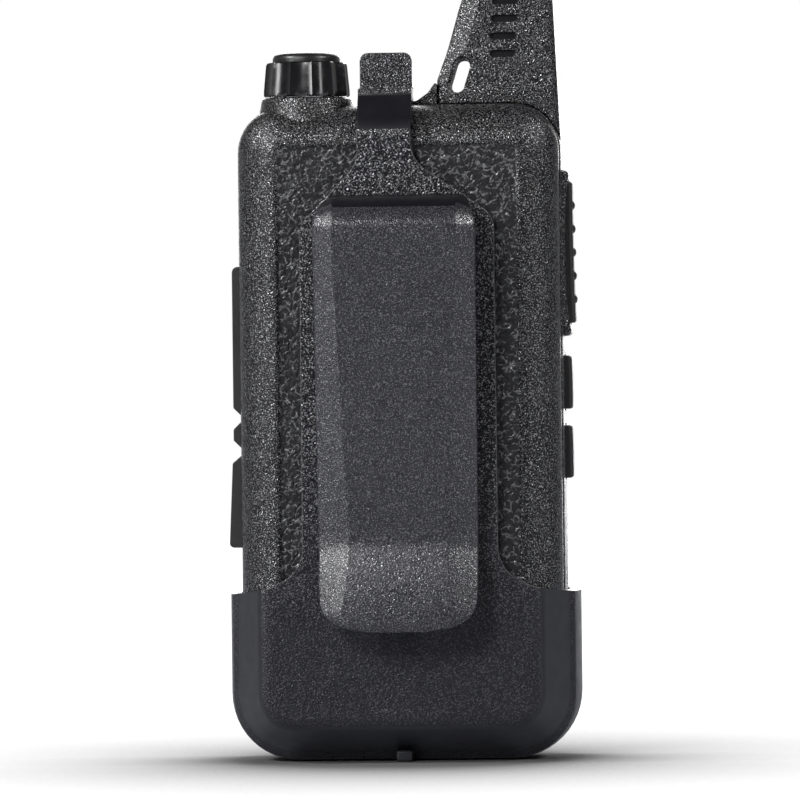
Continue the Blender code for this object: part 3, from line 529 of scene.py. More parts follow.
def clear_lens(name):
    n = Nodes(name)
    n.link(n.mix(n.noise(400), (0.55, 0.6, 0.57), (0.7, 0.74, 0.7)), n.shader.inputs["Base Color"])
    n.link(n.bump(n.noise(900), 0.08, 0.00005), n.shader.inputs["Normal"])
    n.link(n.ranged(n.noise(700), 0.3, 0.7, 0.08, 0.16), n.shader.inputs["Roughness"])
    n.shader.inputs["Transmission Weight"].default_value = 0.55
    n.shader.inputs["IOR"].default_value = 1.49
    return n.material


def pulp(name):
    n = Nodes(name)
    fibres = n.noise(1500, 4.0, 0.7)
    n.link(n.mix(fibres, (0.03, 0.028, 0.025), (0.075, 0.07, 0.062)), n.shader.inputs["Base Color"])
    n.link(n.ranged(fibres, 0.3, 0.7, 0.75, 0.95), n.shader.inputs["Roughness"])
    n.link(n.bump(fibres, 0.6, 0.0001), n.shader.inputs["Normal"])
    return n.material


# The glint amounts given to these plastics are painted glints: pale, partly metallic specks in the colour.
CASE_GRAIN = plastic(
    "case_grain", (0.004, 0.004, 0.004), (0.006, 0.006, 0.007), 0.27, 0.09, 4800, edge=0.2, specular=0.3, painted_glint=0.27,
)
LEATHER = leather("back_leather")
# The holster's plastic also has a painted edge highlight and, low down, painted light that makes it paler.
HOLSTER_GRAIN = plastic(
    "holster_grain", (0.005, 0.005, 0.007), (0.008, 0.008, 0.010), 0.3, 0.08, 4800, edge=0.3, specular=0.28,
    painted_glint=0.32, rim=0.14, painted_light_heights=(0.02, 0.055),
)
HOLSTER_SATIN = plastic(
    "holster_satin", (0.005, 0.005, 0.007), (0.007, 0.007, 0.009), 0.4, 0.01, 6000, edge=0.3, specular=0.25,
)
CLIP_GRAIN = plastic(
    "clip_grain", (0.013, 0.013, 0.017), (0.017, 0.017, 0.022), 0.28, 0.06, 5000, edge=0.2, painted_glint=0.2,
)
# A paler copy of the holster satin: painted light standing in for the floor's light on the cradle's lower bevels.
PAINTED_LIGHT_CRADLE_SATIN = plastic("cradle_satin_painted_light", (0.011, 0.011, 0.015), (0.013, 0.014, 0.018), 0.4, 0.01, 6000, edge=0.1)
KNOB_PLASTIC = plastic("knob_satin", (0.005, 0.005, 0.006), (0.008, 0.008, 0.009), 0.19, 0.003, 5000, specular=1.0)
CAP_PLASTIC = plastic("cap_satin", (0.008, 0.008, 0.009), (0.012, 0.012, 0.013), 0.34, 0.02, 6000)
RUBBER = plastic(
    "rubber_matt", (0.014, 0.014, 0.015), (0.021, 0.020, 0.020), 0.46, 0.02, 5200, edge=0.2, specular=0.45,
)
GRILLE = plastic("grille_satin", (0.006, 0.006, 0.007), (0.009, 0.009, 0.01), 0.3, 0.03, 5200, edge=0.1)
DULL = plastic("dull_plastic", (0.004, 0.004, 0.004), (0.006, 0.006, 0.006), 0.7, 0.02, 4000, specular=0.1)
INNER = plastic("inner_plastic", (0.02, 0.02, 0.02), (0.03, 0.03, 0.03), 0.5, 0.03, 4000)
FOIL = metal("battery_foil", (0.2, 0.22, 0.25), (0.34, 0.36, 0.4), 0.42)
STEEL = metal("nickel_steel", (0.5, 0.5, 0.51), (0.66, 0.66, 0.68), 0.28)
BRASS = metal("bright_brass", (0.66, 0.46, 0.18), (0.82, 0.62, 0.3), 0.26)
BOARD = circuit_board("solder_resist")
LENS = clear_lens("clear_lens")
CONE = pulp("cone_pulp")

BY_SLOT = {
    "case_plastic": CASE_GRAIN, "holster_plastic": HOLSTER_GRAIN, "knob_plastic": KNOB_PLASTIC, "rubber": RUBBER,
    "grille": GRILLE, "lens": LENS, "steel": STEEL, "brass": BRASS, "board": BOARD, "chip": INNER,
    "battery_wrap": FOIL, "paper_cone": CONE,
}


def finish_inner_nodes():
    """CAD nodes get their slots' materials, the microphone dull plastic. Those a detailed piece stands for are hidden
    later.
    """
    for part in frame["record"]["subparts"]:
        obj = frame["nodes"][part["node"]]
        obj.data.materials.clear()
        obj.data.materials.append(DULL if part["node"] == "microphone" else BY_SLOT[part["material_slot"]])


# ---------------------------------------------------------------- radio shells


def body_ring(inset, y, floor=None, steps=ARC):
    side = HALF_WIDTH - inset
    low = BODY_LOW + inset if floor is None else floor
    corners = (
        (side, low, CORNER_LOW), (side, BODY_HIGH - inset, CORNER_HIGH),
        (-side, BODY_HIGH - inset, CORNER_HIGH), (-side, low, CORNER_LOW),
    )
    shape = [(x, z, max(radius - inset, 0.8)) for x, z, radius in corners]
    return [(x, y, z) for x, z in rounded_path(shape, steps)]


def stack(rings, steps=ARC):
    return [body_ring(*ring, steps=steps) if len(ring) == 3 else body_ring(*ring, None, steps) for ring in rings]


# Rings from front to back, as (inset from the radio's outline, Y).
CASE_PROFILE = (
    (6.6, -10.5), (5.7, -10.46), (5.45, -10.42), (5.35, -10.16), (5.05, -10.14), (4.95, -10.38), (4.6, -10.33),
    (3.4, -10.1), (1.4, -9.0), (0.35, -7.0), (0.0, -3.0), (0.1, 1.0), (0.25, 3.6), (0.5, 3.85),
)
CASE_TONGUE = ((1.95, 3.87), (2.0, 5.2))
CASE_CAVITY = ((6.8, -8.9), (4.0, -8.5), (2.6, -7.5), (1.8, -5.8), (1.8, 2.6), (2.5, 3.0), (2.5, 6.0))
COVER_PROFILE = (
    (0.75, 4.15), (0.5, 4.3), (0.45, 5.2), (0.62, 6.2), (1.15, 7.35), (2.1, 8.45), (3.4, 9.4), (4.6, 10.05),
    (5.5, 10.38), (6.2, 10.5), (6.55, 10.47),
)
COVER_STEP = ((6.75, 10.36), (6.95, 10.3), (7.4, 10.28))
COVER_CAVITY = ((1.9, 3.0), (1.9, 5.6), (2.8, 6.9), (4.4, 8.1), (6.0, 8.6), (7.6, 8.8))
LEATHER_FROM = 6.7  # the inset at which the leather grain starts
PANEL = (13.0, 33.5, 43.5)  # the plain sunk panel on the front: half its width, and its lowest and highest Z
# Lowest and highest Z of the side controls and covers.
PTT_LOW, PTT_HIGH = 66.8, 88.5
PTT_FRAME_LOW, PTT_FRAME_HIGH = 64.8, 90.2
KEYS = {"side_key_upper": (53.6, 61.8), "side_key_lower": (43.0, 51.1)}
FLAPS = {"accessory_flap": (53.2, 76.0), "anchor": (48.2, 52.1), "charge_flap": (32.8, 46.9)}


def rounded_section(front, back, outer, inner, z, radius=0.8, steps=5):
    """A bar's section at height z: open towards the case, with rounded outer corners. X runs outwards from inner."""
    corners = ((inner, front), (outer, front, radius), (outer, back, radius), (inner, back))
    return [(x, y, z) for x, y in rounded_path(corners, steps)]


def talk_frame():
    front, back = KEY_Y - 4.2, KEY_Y + 4.2
    middle = (PTT_FRAME_LOW + PTT_FRAME_HIGH) / 2
    half = (PTT_FRAME_HIGH - PTT_FRAME_LOW) / 2
    rings = []
    for k in range(-16, 17):
        share = math.sin(math.pi / 2 * k / 16)
        rise = 0.3 + (0.75 if share > 0 else 1.0) * abs(share) ** 3
        end = max(0.0, (abs(share) - 0.93) / 0.07)
        rise -= 0.9 * (1 - math.sqrt(max(0.0, 1 - end * end)))
        z = middle + half * share
        rings.append(rounded_section(front, back, -HALF_WIDTH - rise, -23.6, z, 1.0))
    return loft("talk_frame", rings)


def antenna_root():
    outline = rounded_path(
        (
            (-0.6, 99.9), (-0.6, 100.9), (-2.8, 101.1, 1.2), (-4.5, 102.3, 1.6), (-5.5, 103.75, 0.2), (-5.87, 103.75),
            (-5.87, 99.9),
        ),
        8,
    )
    return bevelled(plate("antenna_root", outline, BLADE_Y - 3.9, BLADE_Y + 3.9, "XZ"), 0.25, 2, 60)


def grille_outline(half, steps=6):
    low, high = SPEAKER_Z - half + 1.5, SPEAKER_Z + half - 1.5
    return rounded_path(((-half, low, 3.0), (half, low, 3.0), (half, high, 3.0), (-half, high, 3.0)), steps)


def front_case():
    case = loft("front_case_shell", stack(curve_through(CASE_PROFILE, 4) + list(CASE_TONGUE)))
    collar = turned(
        "collar",
        (
            (0.0, 93.5), (8.25, 93.5), (8.2, 95.5), (7.75, 97.5), (7.35, 99.4), (7.05, 100.9), (6.9, 101.5),
            (6.6, 101.75), (0.0, 101.75),
        ),
        (KNOB_X, KNOB_Y, 0), (0, 0, 1), 72,
    )
    join(case, talk_frame(), antenna_root(), collar)
    tools = [loft("cavity", stack(CASE_CAVITY, 6))]
    spans = {"talk": (PTT_LOW, PTT_HIGH, 2.8)}
    spans.update({name: (low, high, 2.3) for name, (low, high) in KEYS.items()})
    for name, (low, high, half) in spans.items():
        shape = rounded_path((
            (KEY_Y - half - GAP, low - GAP, 0.9), (KEY_Y + half + GAP, low - GAP, 0.9),
            (KEY_Y + half + GAP, high + GAP, 0.9), (KEY_Y - half - GAP, high + GAP, 0.9),
        ), 6)
        tools.append(plate(name + "_hole", shape, -30, -22, "YZ"))
    reach = COVER_HALF + GAP
    low, high = FLAPS["charge_flap"][0] - GAP, FLAPS["accessory_flap"][1] + GAP
    recess = rounded_path((
        (COVER_Y - reach, low, 1.0), (COVER_Y + reach, low, 1.0),
        (COVER_Y + reach, high, 1.0), (COVER_Y - reach, high, 1.0),
    ), 6)
    tools.append(plate("cover_recess", recess, COVER_BASE - GAP, 28, "YZ"))
    for z, radius in ((70.5, 1.75), (59.5, 1.25)):
        tools.append(cylinder("jack_hole", (22, COVER_Y, z), (26, COVER_Y, z), radius + 0.7, segments=32))
    tools.append(box("charge_hole", (22, -4.6, 36.5), (26, -2.1, 43.5)))
    tools.append(box("anchor_hole", (22, COVER_Y - 1.1, 49.1), (26, COVER_Y + 1.1, 51.2)))
    tools.append(plate("grille_recess", grille_outline(16.5 + GAP), -12, -9.6, "XZ"))
    wide, low, high = PANEL
    panel = rounded_path(((-wide, low, 2.5), (wide, low, 2.5), (wide, high, 2.5), (-wide, high, 2.5)), 8)
    tools.append(plate("panel_recess", panel, -12, -10.2, "XZ"))
    tools.append(cylinder("speaker_mouth", (0, -12, SPEAKER_Z), (0, -8, SPEAKER_Z), 12.5))
    tools.append(cylinder("mic_hole", (MIC_X, -12, MIC_Z), (MIC_X, -8, MIC_Z), 0.8, segments=24))
    tools.append(box("led_hole", (-2.8, -12, LED_Z - 1.1), (2.8, -8, LED_Z + 1.1)))
    tools.append(cylinder("pot_hole", (KNOB_X, KNOB_Y, 92), (KNOB_X, KNOB_Y, 103), 3.9, segments=32))
    tools.append(cylinder("pot_seat", (KNOB_X, KNOB_Y, 92), (KNOB_X, KNOB_Y, 98.2), 5.6, segments=32))
    cut(case, *tools)
    smooth(case, 34)

    def choose(centre, normal):
        return 1 if normal.y < -0.9 and -10.3 < centre.y < -10.1 and PANEL[1] < centre.z < PANEL[2] else 0

    paint(case, CASE_GRAIN, GRILLE, choose=choose)
    stand_for(case, "radio", "case_plastic", "front_case")


def battery_cover():
    rings = list(curve_through(COVER_PROFILE, 3)) + list(COVER_STEP)
    cover = loft("battery_cover_shell", stack(rings))
    grow = GAP + 0.1
    notch = turned(
        "notch",
        ((0.0, 92.5), (8.25 + grow, 92.5), (8.2 + grow, 95.5), (7.75 + grow, 97.5), (7.35 + grow, 99.4),
         (7.05 + grow, 101.8), (0.0, 101.8)),
        (KNOB_X, KNOB_Y, 0), (0, 0, 1), 72,
    )
    cut(cover, loft("cover_cavity", stack(COVER_CAVITY, 6)), notch)
    smooth(cover, 40)

    def choose(centre, normal):
        return 1 if centre.y > 10.0 and normal.y > 0.9 and rounded_distance(centre.x, centre.z) > LEATHER_FROM else 0

    paint(cover, CASE_GRAIN, LEATHER, choose=choose)
    stand_for(cover, "radio", "case_plastic", "battery_cover")


def speaker_grille():
    panel = plate("grille_panel", grille_outline(16.5), -10.7, -9.9, "XZ")
    bevelled(panel, 0.25, 2)
    slots, pitch = 9, 2.6
    cutters = []
    for i in range(slots):
        z = SPEAKER_Z + (i - (slots - 1) / 2) * pitch
        half = math.sqrt(12.2 ** 2 - (z - SPEAKER_Z) ** 2)
        corners = (-half, z - 0.6, 0.58), (half, z - 0.6, 0.58), (half, z + 0.6, 0.58), (-half, z + 0.6, 0.58)
        outline = rounded_path(corners, 6)
        cutters.append(plate(f"slot_{i}", outline, -12, -9, "XZ"))
    cut(panel, *cutters)
    smooth(panel, 30)
    paint(panel, GRILLE)
    stand_for(panel, "radio", "grille", "speaker_grille")


# ---------------------------------------------------------------- holster


CRADLE_OUTER = (
    (3.4, -12.4), (1.9, -12.25), (0.4, -11.5), (-0.7, -10.4), (-1.4, -9.0, 0.3), (-1.85, -7.0, 0.0),
    (-2.0, -3.0, 0.0), (-1.9, -0.5, 0.05), (-1.65, 2.0, 0.15), (-1.34, 4.0, 0.3), (-1.2, 4.4), (-1.02, 4.62),
    (-0.46, 5.26), (-0.26, 5.55), (3.0, 11.55), (3.35, 12.1), (3.75, 12.45),
    (4.3, 12.68), (5.0, 12.78), (5.8, 12.8),
)
CRADLE_INNER = (
    (5.8, -10.8), (3.1, -10.45), (1.05, -9.35), (-0.05, -7.2), (-0.3, -3.0), (-0.05, 3.8), (0.22, 5.2), (0.47, 6.25),
    (1.02, 7.43), (2.0, 8.58), (2.9, 9.35), (4.4, 10.2), (6.2, PLATE_FRONT - 0.02), (7.4, PLATE_FRONT),
)


def holster_outline():
    wide, flare = 32.0, 26.3
    return rounded_path((
        (wide, -3.0), (wide, RIM - 0.4), (HALF_WIDTH + 1.0, RIM, 2.0), (20.4, flare + 0.4, 6.0),
        (SPINE_HALF + 0.1, 29.4, 5.5), (SPINE_HALF, 82.0, 4.0), (NECK_RIGHT, 91.2, 5.0), (NECK_RIGHT, HOOK_TOP + 0.3),
        (NECK_RIGHT - 0.1, HOOK_TOP + 0.3), (NECK_RIGHT - 0.1, TAB_TOP, 1.3), (NECK_LEFT + 0.1, TAB_TOP, 1.3),
        (NECK_LEFT + 0.1, HOOK_TOP + 0.3),
        (NECK_LEFT, HOOK_TOP + 0.3), (NECK_LEFT, 91.8, 5.0), (-SPINE_HALF, 83.2, 4.0), (-SPINE_HALF - 0.1, 29.4, 5.5),
        (-20.4, flare + 0.4, 6.0), (-HALF_WIDTH - 1.0, RIM, 2.0), (-wide, RIM - 0.4), (-wide, -3.0),
    ))


def holster():
    """Cup, spine, neck, hook and tab in one moulding, as on the real holster."""
    cup = loft("holster", stack(CRADLE_OUTER))
    low_part = box("low_part", (-40, -30, -5), (40, 30, 60))
    boolean(cup, [low_part], "INTERSECT")
    side = rounded_path((
        (PLATE_BACK, 55), (PLATE_BACK, 97.0, 4.5), (8.3, 101.9, 0.6), (8.3, HOOK_TOP, 0.35),
        (TAB_BACK, HOOK_TOP, 0.5), (TAB_BACK, TAB_TOP + 0.1, 0.6), (TAB_FRONT, TAB_TOP + 0.1, 0.6),
        (TAB_FRONT, HOOK_LOW, 0.4), (6.4, HOOK_LOW, 1.0), (9.0, 98.9, 2.0), (PLATE_FRONT, 95.6, 2.0),
        (PLATE_FRONT, 55),
    ), 8)
    spine = plate("spine", side, -25, 25, "YZ")
    join(cup, spine)
    nub = bevelled(box("gate_nub", (-1.2, 4.6, 0.02), (1.2, 7.0, 1.7)), 0.3, 3)
    join(cup, nub)
    inside = loft("inside", stack(CRADLE_INNER, 8))
    below = box("below", (-40, -30, -5), (40, 30, 93))
    boolean(inside, [below], "INTERSECT")
    window_side = HALF_WIDTH - LIP
    window = rounded_path((
        (window_side, BODY_LOW + LIP, CORNER_LOW - LIP), (window_side, 130), (-window_side, 130),
        (-window_side, BODY_LOW + LIP, CORNER_LOW - LIP),
    ))
    cut(cup, inside, plate("window", window, -20, -8.8, "XZ"))
    boolean(cup, [plate("shape", holster_outline(), -20, 20, "XZ")], "INTERSECT")
    cut(cup, box("front_crumbs", (-20, -20, 27.5), (20, -5, 99)))
    soften(cup, 0.3, 3, 40, lambda point: point.y < 5.6 and point.z < 26.5)
    smooth(mended(cup), 34)

    def choose(centre, normal):
        if centre.z > 40:
            return 1 if 96.6 < centre.z < 102.1 else 0
        bevel = centre.y > 5.3 and rounded_distance(centre.x, centre.z) < 3.9 and normal.y > 0.2
        # The cradle's bevels and low faces get the paler satin: painted light.
        return 2 if bevel or centre.y < 4.0 else 0

    paint(cup, HOLSTER_GRAIN, HOLSTER_SATIN, PAINTED_LIGHT_CRADLE_SATIN, choose=choose)
    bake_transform(cup)
    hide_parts("holster_cradle", "latch_arm")


def clip_path():
    """Stations: Y and Z of the outer face, its normal's tilt, half width, flat half width, bevel drop, thickness."""
    lean = math.degrees(math.atan2(18.4 - 22.2, 80.2 - 35.0))
    return curve_through((
        (12.3, 86.9, 115, 10.3, 9.6, 0.2, 4.4),
        (12.9, 86.45, 105, 10.4, 9.6, 0.3, 3.4),
        (14.2, 86.2, 95, 10.7, 9.5, 0.45, 2.6),
        (16.0, 86.0, 86, 11.1, 9.4, 0.65, 2.25),
        (18.2, 85.5, 72, 11.6, 9.3, 0.95, 2.2),
        (20.0, 84.5, 56, 12.0, 9.3, 1.2, 2.2),
        (21.2, 83.2, 38, 12.2, 9.3, 1.45, 2.2),
        (21.9, 81.6, 17, 12.3, 9.4, 1.55, 2.2),
        (22.15, 79.6, lean, 12.3, 9.4, 1.6, 2.2),
        (20.5, 60.0, lean, 12.2, 8.5, 1.6, 2.2),
        (18.75, 39.2, lean, 12.1, 7.6, 1.6, 2.2),
        (18.4, 35.2, lean + 2, 12.1, 7.5, 1.6, 2.2),
        (18.42, 33.3, 9, 12.1, 7.5, 1.6, 2.2),
        (18.85, 31.8, 17, 12.1, 7.6, 1.6, 2.2),
        (19.4, 29.8, 15, 12.1, 7.7, 1.55, 2.2),
        (19.95, 27.2, 10, 12.05, 7.9, 1.5, 2.2),
        (20.25, 25.1, 8, 11.95, 8.3, 1.4, 2.15),
        (20.42, 23.6, 6, 11.55, 8.6, 1.15, 2.1),
        (20.52, 22.4, 4, 10.7, 8.4, 0.9, 2.0),
        (20.58, 21.4, 2, 9.3, 7.6, 0.6, 1.9),
        (20.58, 20.7, 0, 7.3, 6.1, 0.4, 1.8),
        (20.54, 20.3, -2, 4.6, 3.8, 0.25, 1.7),
    ), 5)


def clip_section(y, z, tilt, half, flat, drop, thick):
    normal = Vector((0, math.cos(math.radians(tilt)), math.sin(math.radians(tilt))))
    centre = Vector((0, y, z))
    soft = min(0.45, drop * 0.5)
    outer = rounded_path((
        (-half, drop + thick * 0.55), (-half, drop, soft * 0.8), (-flat, 0.0, 0.9), (flat, 0.0, 0.9),
        (half, drop, soft * 0.8), (half, drop + thick * 0.55), (half - 0.5, thick + drop * 0.35, 0.2),
        (flat, thick), (-flat, thick), (-half + 0.5, thick + drop * 0.35, 0.2),
    ), 4)
    return [centre + Vector((x, 0, 0)) - normal * depth for x, depth in outer]


def belt_clip():
    blade = loft("belt_clip_blade", [clip_section(*station) for station in clip_path()])
    smooth(blade, 50, False)
    # Faces looking up or away from the back get the smooth holster satin, darker than the clip grain: painted shade
    # on the clip's top and inner side.
    paint(blade, CLIP_GRAIN, HOLSTER_SATIN, choose=lambda c, n: 1 if n.z > 0.8 or n.y < 0.1 else 0)
    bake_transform(blade)
    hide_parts("belt_clip")


# ---------------------------------------------------------------- antenna


def blade_edges(z):
    """(X of the inner edge, X of the outer edge) at height z."""
    inner = curve_through((
        (93.0, -5.9), (103.6, -5.9), (104.6, -6.05), (105.5, -6.37), (106.4, -6.67), (108.2, -7.34), (110.1, -7.92),
        (112.0, -8.5), (114.0, -8.98), (120.0, -10.9), (130.0, -13.0), (140.0, -14.3),
        (148.0, -14.9), (149.6, -15.3), (150.9, -16.3), (151.7, -17.6),
    ), 6)
    outer = curve_through((
        (93.0, -24.9), (97.0, -24.65), (110.0, -24.05), (130.0, -23.1), (147.5, -22.4), (149.5, -22.0),
        (150.9, -21.0), (151.7, -19.6),
    ), 6)

    def at(curve):
        for (z0, x0), (z1, x1) in zip(curve, curve[1:]):
            if z0 <= z <= z1:
                return x0 + (x1 - x0) * (z - z0) / max(z1 - z0, 1e-6)
        return curve[-1][1]

    return at(inner), at(outer)


def blade_section(z):
    inner, outer = blade_edges(z)
    share = max(0.0, (z - BLADE_LOW) / (BLADE_TOP - BLADE_LOW))
    half = BLADE_HALF * (1 - 0.5 * share)
    end = max(0.0, (z - 149.4) / (BLADE_TOP - 149.4))
    half *= math.sqrt(max(0.02, 1 - end * end * 0.9))
    width = abs(outer - inner)
    band = min(2.75, width * 0.3)
    corners = (
        (inner, -half * 0.7, 0.4), (inner - band, -half, 1.2), (outer + 0.75, -half, 0.5), (outer, -half + 0.9, 0.5),
        (outer, half - 0.9, 0.5), (outer + 0.75, half, 0.5), (inner - band, half, 1.2), (inner, half * 0.7, 0.4),
    )
    if width < 5.0:
        corners = [(x, y) for x, y, _ in corners]
        return [(x, BLADE_Y + y, z) for x, y in corners for _ in range(4)]
    return [(x, BLADE_Y + y, z) for x, y in rounded_path(corners, 3)]


def antenna():
    heights = [93.2, 95.0, 96.8, 99.0, 101.0, 102.6, 103.6, 104.2, 104.8, 105.6, 106.4, 107.2, 108.0, 109.0, 110.0]
    heights += [110 + 2.5 * k for k in range(1, 15)]
    heights += [146.5, 148.0, 149.0, 149.8, 150.5, 151.0, 151.4, 151.75, 152.0]
    blade = loft("antenna_shell", [blade_section(z) for z in heights])
    under = loft("under", stack([(0.03, -12.0), (0.03, 12.0)]))
    slot = plate("slot", rounded_path(slot_outline(1.1), 10), -12, 12, "XZ")
    rim = plate("slot_rim", rounded_path(slot_outline(1.5), 10), 2.3, 12, "XZ")
    tools = [under, slot, rim]
    for i, z in enumerate(MARKS):
        x = -16.0 - (z - 107) * 0.06
        corners = (x - 2.0, z, 0.5), (x + 2.0, z, 0.5), (x + 2.0, z + 1.1, 0.5), (x - 2.0, z + 1.1, 0.5)
        mark = rounded_path(corners, 6)
        surface = BLADE_HALF * (1 - 0.5 * (z - BLADE_LOW) / (BLADE_TOP - BLADE_LOW))
        tools.append(plate(f"mark_{i}", mark, BLADE_Y + surface - MARK_DEPTH, 12, "XZ"))
    cut(blade, *tools)
    smooth(blade, 40)

    def choose(centre, normal):
        if abs(normal.y) < 0.3 and -11.5 < centre.x < -7.5 and 101.5 < centre.z < 108.2:
            return 2
        half = BLADE_HALF * (1 - 0.5 * (centre.z - BLADE_LOW) / (BLADE_TOP - BLADE_LOW))
        sunk = 0.1 < BLADE_Y + half - centre.y < MARK_DEPTH + 0.3
        return 1 if sunk and -19.5 < centre.x < -13.5 and centre.z < MARKS[-1] + 2 else 0

    paint(blade, CASE_GRAIN, HOLSTER_SATIN, DULL, choose=choose)
    stand_for(blade, "radio", "case_plastic", "antenna_blade")


def slot_outline(radius):
    low, high = Vector((-9.0, 103.4)), Vector((-9.9, 106.3))
    along = (high - low).normalized() * radius
    side = Vector((along.y, -along.x))
    corner = radius * 0.99
    return (
        (*(low - along + side), corner), (*(high + along + side), corner),
        (*(high + along - side), corner), (*(low - along - side), corner),
    )


# ---------------------------------------------------------------- volume knob


def volume_knob():
    flutes, per_flute = 12, 12
    count = flutes * per_flute
    turn = math.radians(11)
    rings = []
    profile = (  # height, growth of the radius and depth of the flutes
        (KNOB_LOW, -0.25, 0.6), (KNOB_LOW + 0.2, 0.0, 1.0), (KNOB_LOW + 0.9, 0.0, 1.0),
        (KNOB_HIGH - 1.2, -0.3, 1.0), (KNOB_HIGH - 0.45, -0.38, 1.0), (KNOB_HIGH - 0.15, -0.52, 0.8),
        (KNOB_HIGH, -0.8, 0.5), (KNOB_HIGH, -1.2, 0.0),
    )
    for z, grow, share in profile:
        ring = []
        for k in range(count):
            angle = turn + math.tau * k / count
            part = (k % per_flute) / per_flute
            reach = KNOB_RADIUS + grow - 0.55 * share * math.sin(math.pi * part) ** 0.8
            ring.append((KNOB_X + reach * math.cos(angle), KNOB_Y + reach * math.sin(angle), z))
        rings.append(ring)
    knob = loft("volume_knob_skirt", rings)
    cut(
        knob,
        cylinder("skirt", (KNOB_X, KNOB_Y, 95), (KNOB_X, KNOB_Y, 104.0), 5.5),
        cylinder("bore", (KNOB_X, KNOB_Y, 95), (KNOB_X, KNOB_Y, 106.0), 2.9),
        cylinder("seat", (KNOB_X, KNOB_Y, 106.5), (KNOB_X, KNOB_Y, 112), 5.4, segments=96),
    )
    smooth(knob, 24)
    paint(knob, KNOB_PLASTIC)
    stand_for(knob, "knob", "knob_plastic", "volume_knob")
    cap = turned(
        "volume_knob_cap",
        ((0.0, 106.8), (5.2, 106.8), (5.22, 107.6), (5.16, 107.95), (4.95, 108.3), (4.6, 108.5), (4.2, 108.6),
         (3.9, 108.58), (3.7, 108.48), (3.4, 108.42), (0.0, 108.4)),
        (KNOB_X, KNOB_Y, 0), (0, 0, 1),
    )
    smooth(cap, 50, False)
    paint(cap, CAP_PLASTIC)
    stand_for(cap, "knob", "knob_plastic", "knob_cap")


# ---------------------------------------------------------------- side controls and covers


def key_rings(low, high, half, outer_low, outer_high, bow, end_round, steps=40):
    """A key's sections from bottom to top: its face leans between two depths, and its ends are rounded."""
    rings = []
    reach = end_round / (high - low)
    for k in range(steps + 1):
        share = 0.5 - 0.5 * math.cos(math.pi * k / steps)
        end = max(0.0, 1 - min(share, 1 - share) / reach)
        outer = outer_low + (outer_high - outer_low) * share + bow * (1 - (2 * share - 1) ** 2)
        outer += end_round * (1 - math.sqrt(max(0.0, 1 - end * end)))
        rings.append(rounded_section(KEY_Y - half, KEY_Y + half, outer, -22.6, low + (high - low) * share, 0.6))
    return rings


def talk_button():
    button = loft("talk_button", key_rings(PTT_LOW, PTT_HIGH, 2.8, -26.75, -26.4, 0.12, 0.5))
    middle = (PTT_LOW + PTT_HIGH) / 2
    across = (
        (0.0, -1.75), (0.4, -1.7), (0.75, -1.4), (0.85, -1.0), (0.85, 1.0), (0.75, 1.4), (0.4, 1.7), (0.0, 1.75),
    )
    ribs = []
    for i in range(5):
        z = middle + (i - 2) * 3.6
        ribs.append(turned(f"rib_{i}", across, (-26.12 + 0.06 * i, KEY_Y, z), (0, 1, 0), 32))
    flange = box("flange", (-22.9, KEY_Y - 3.8, PTT_LOW - 1.0), (-22.2, KEY_Y + 3.7, PTT_HIGH + 1.0))
    join(button, flange, *ribs)
    smooth(button, 40)
    paint(button, RUBBER)
    stand_for(button, "talk_button", "rubber", "ptt_button")


def side_keys():
    bodies = {"side_key_upper": "upper_key", "side_key_lower": "lower_key"}
    for name, (low, high) in KEYS.items():
        key = loft(name + "_cap", key_rings(low, high, 2.3, -26.08, -25.98, -0.06, 0.45, 24))
        join(key, box("flange", (-22.9, KEY_Y - 3.2, low - 0.5), (-22.3, KEY_Y + 3.2, high + 0.5)))
        smooth(key, 40)
        paint(key, RUBBER)
        stand_for(key, bodies[name], "rubber", name)


def cover_bar(name, corners):
    bar = plate(name, rounded_path(corners, 6), COVER_Y - COVER_HALF, COVER_Y + COVER_HALF, "XZ")
    return bevelled(bar, 0.45, 4, 50)


def socket_covers():
    base, face, notch = COVER_BASE, COVER_FACE, 1.1
    low, high = FLAPS["accessory_flap"]
    flap = cover_bar("audio_flap", (
        (base, low), (base + 0.45, low, 0.1), (face, low + notch, 0.5), (face, high, 0.9), (base, high),
    ))
    for z, radius in ((70.5, 1.45), (59.5, 0.95)):
        join(flap, cylinder("plug", (base - 0.9, COVER_Y, z), (base + 0.6, COVER_Y, z), radius, segments=32))
    low, high = FLAPS["anchor"]
    anchor = cover_bar("cover_anchor", (
        (base, low), (base + 0.45, low, 0.1), (face, low + notch, 0.4), (face, high - notch, 0.4),
        (base + 0.45, high, 0.1), (base, high),
    ))
    join(anchor, box("stem", (22.5, COVER_Y - 0.8, 49.4), (base + 0.5, COVER_Y + 0.8, 50.9)))
    low, high = FLAPS["charge_flap"]
    charge = cover_bar("charging_flap", (
        (base, low), (face + 0.8, low, 0.7), (face + 0.2, high - notch, 0.5), (base + 0.45, high, 0.1),
        (base, high),
    ))
    for obj, body, node in (
        (flap, "audio_cover", "accessory_flap"),
        (anchor, "radio", "jack_cover_anchor"),
        (charge, "charge_cover", "charge_flap"),
    ):
        smooth(obj, 40)
        paint(obj, RUBBER)
        stand_for(obj, body, "rubber", node)


# ---------------------------------------------------------------- stage


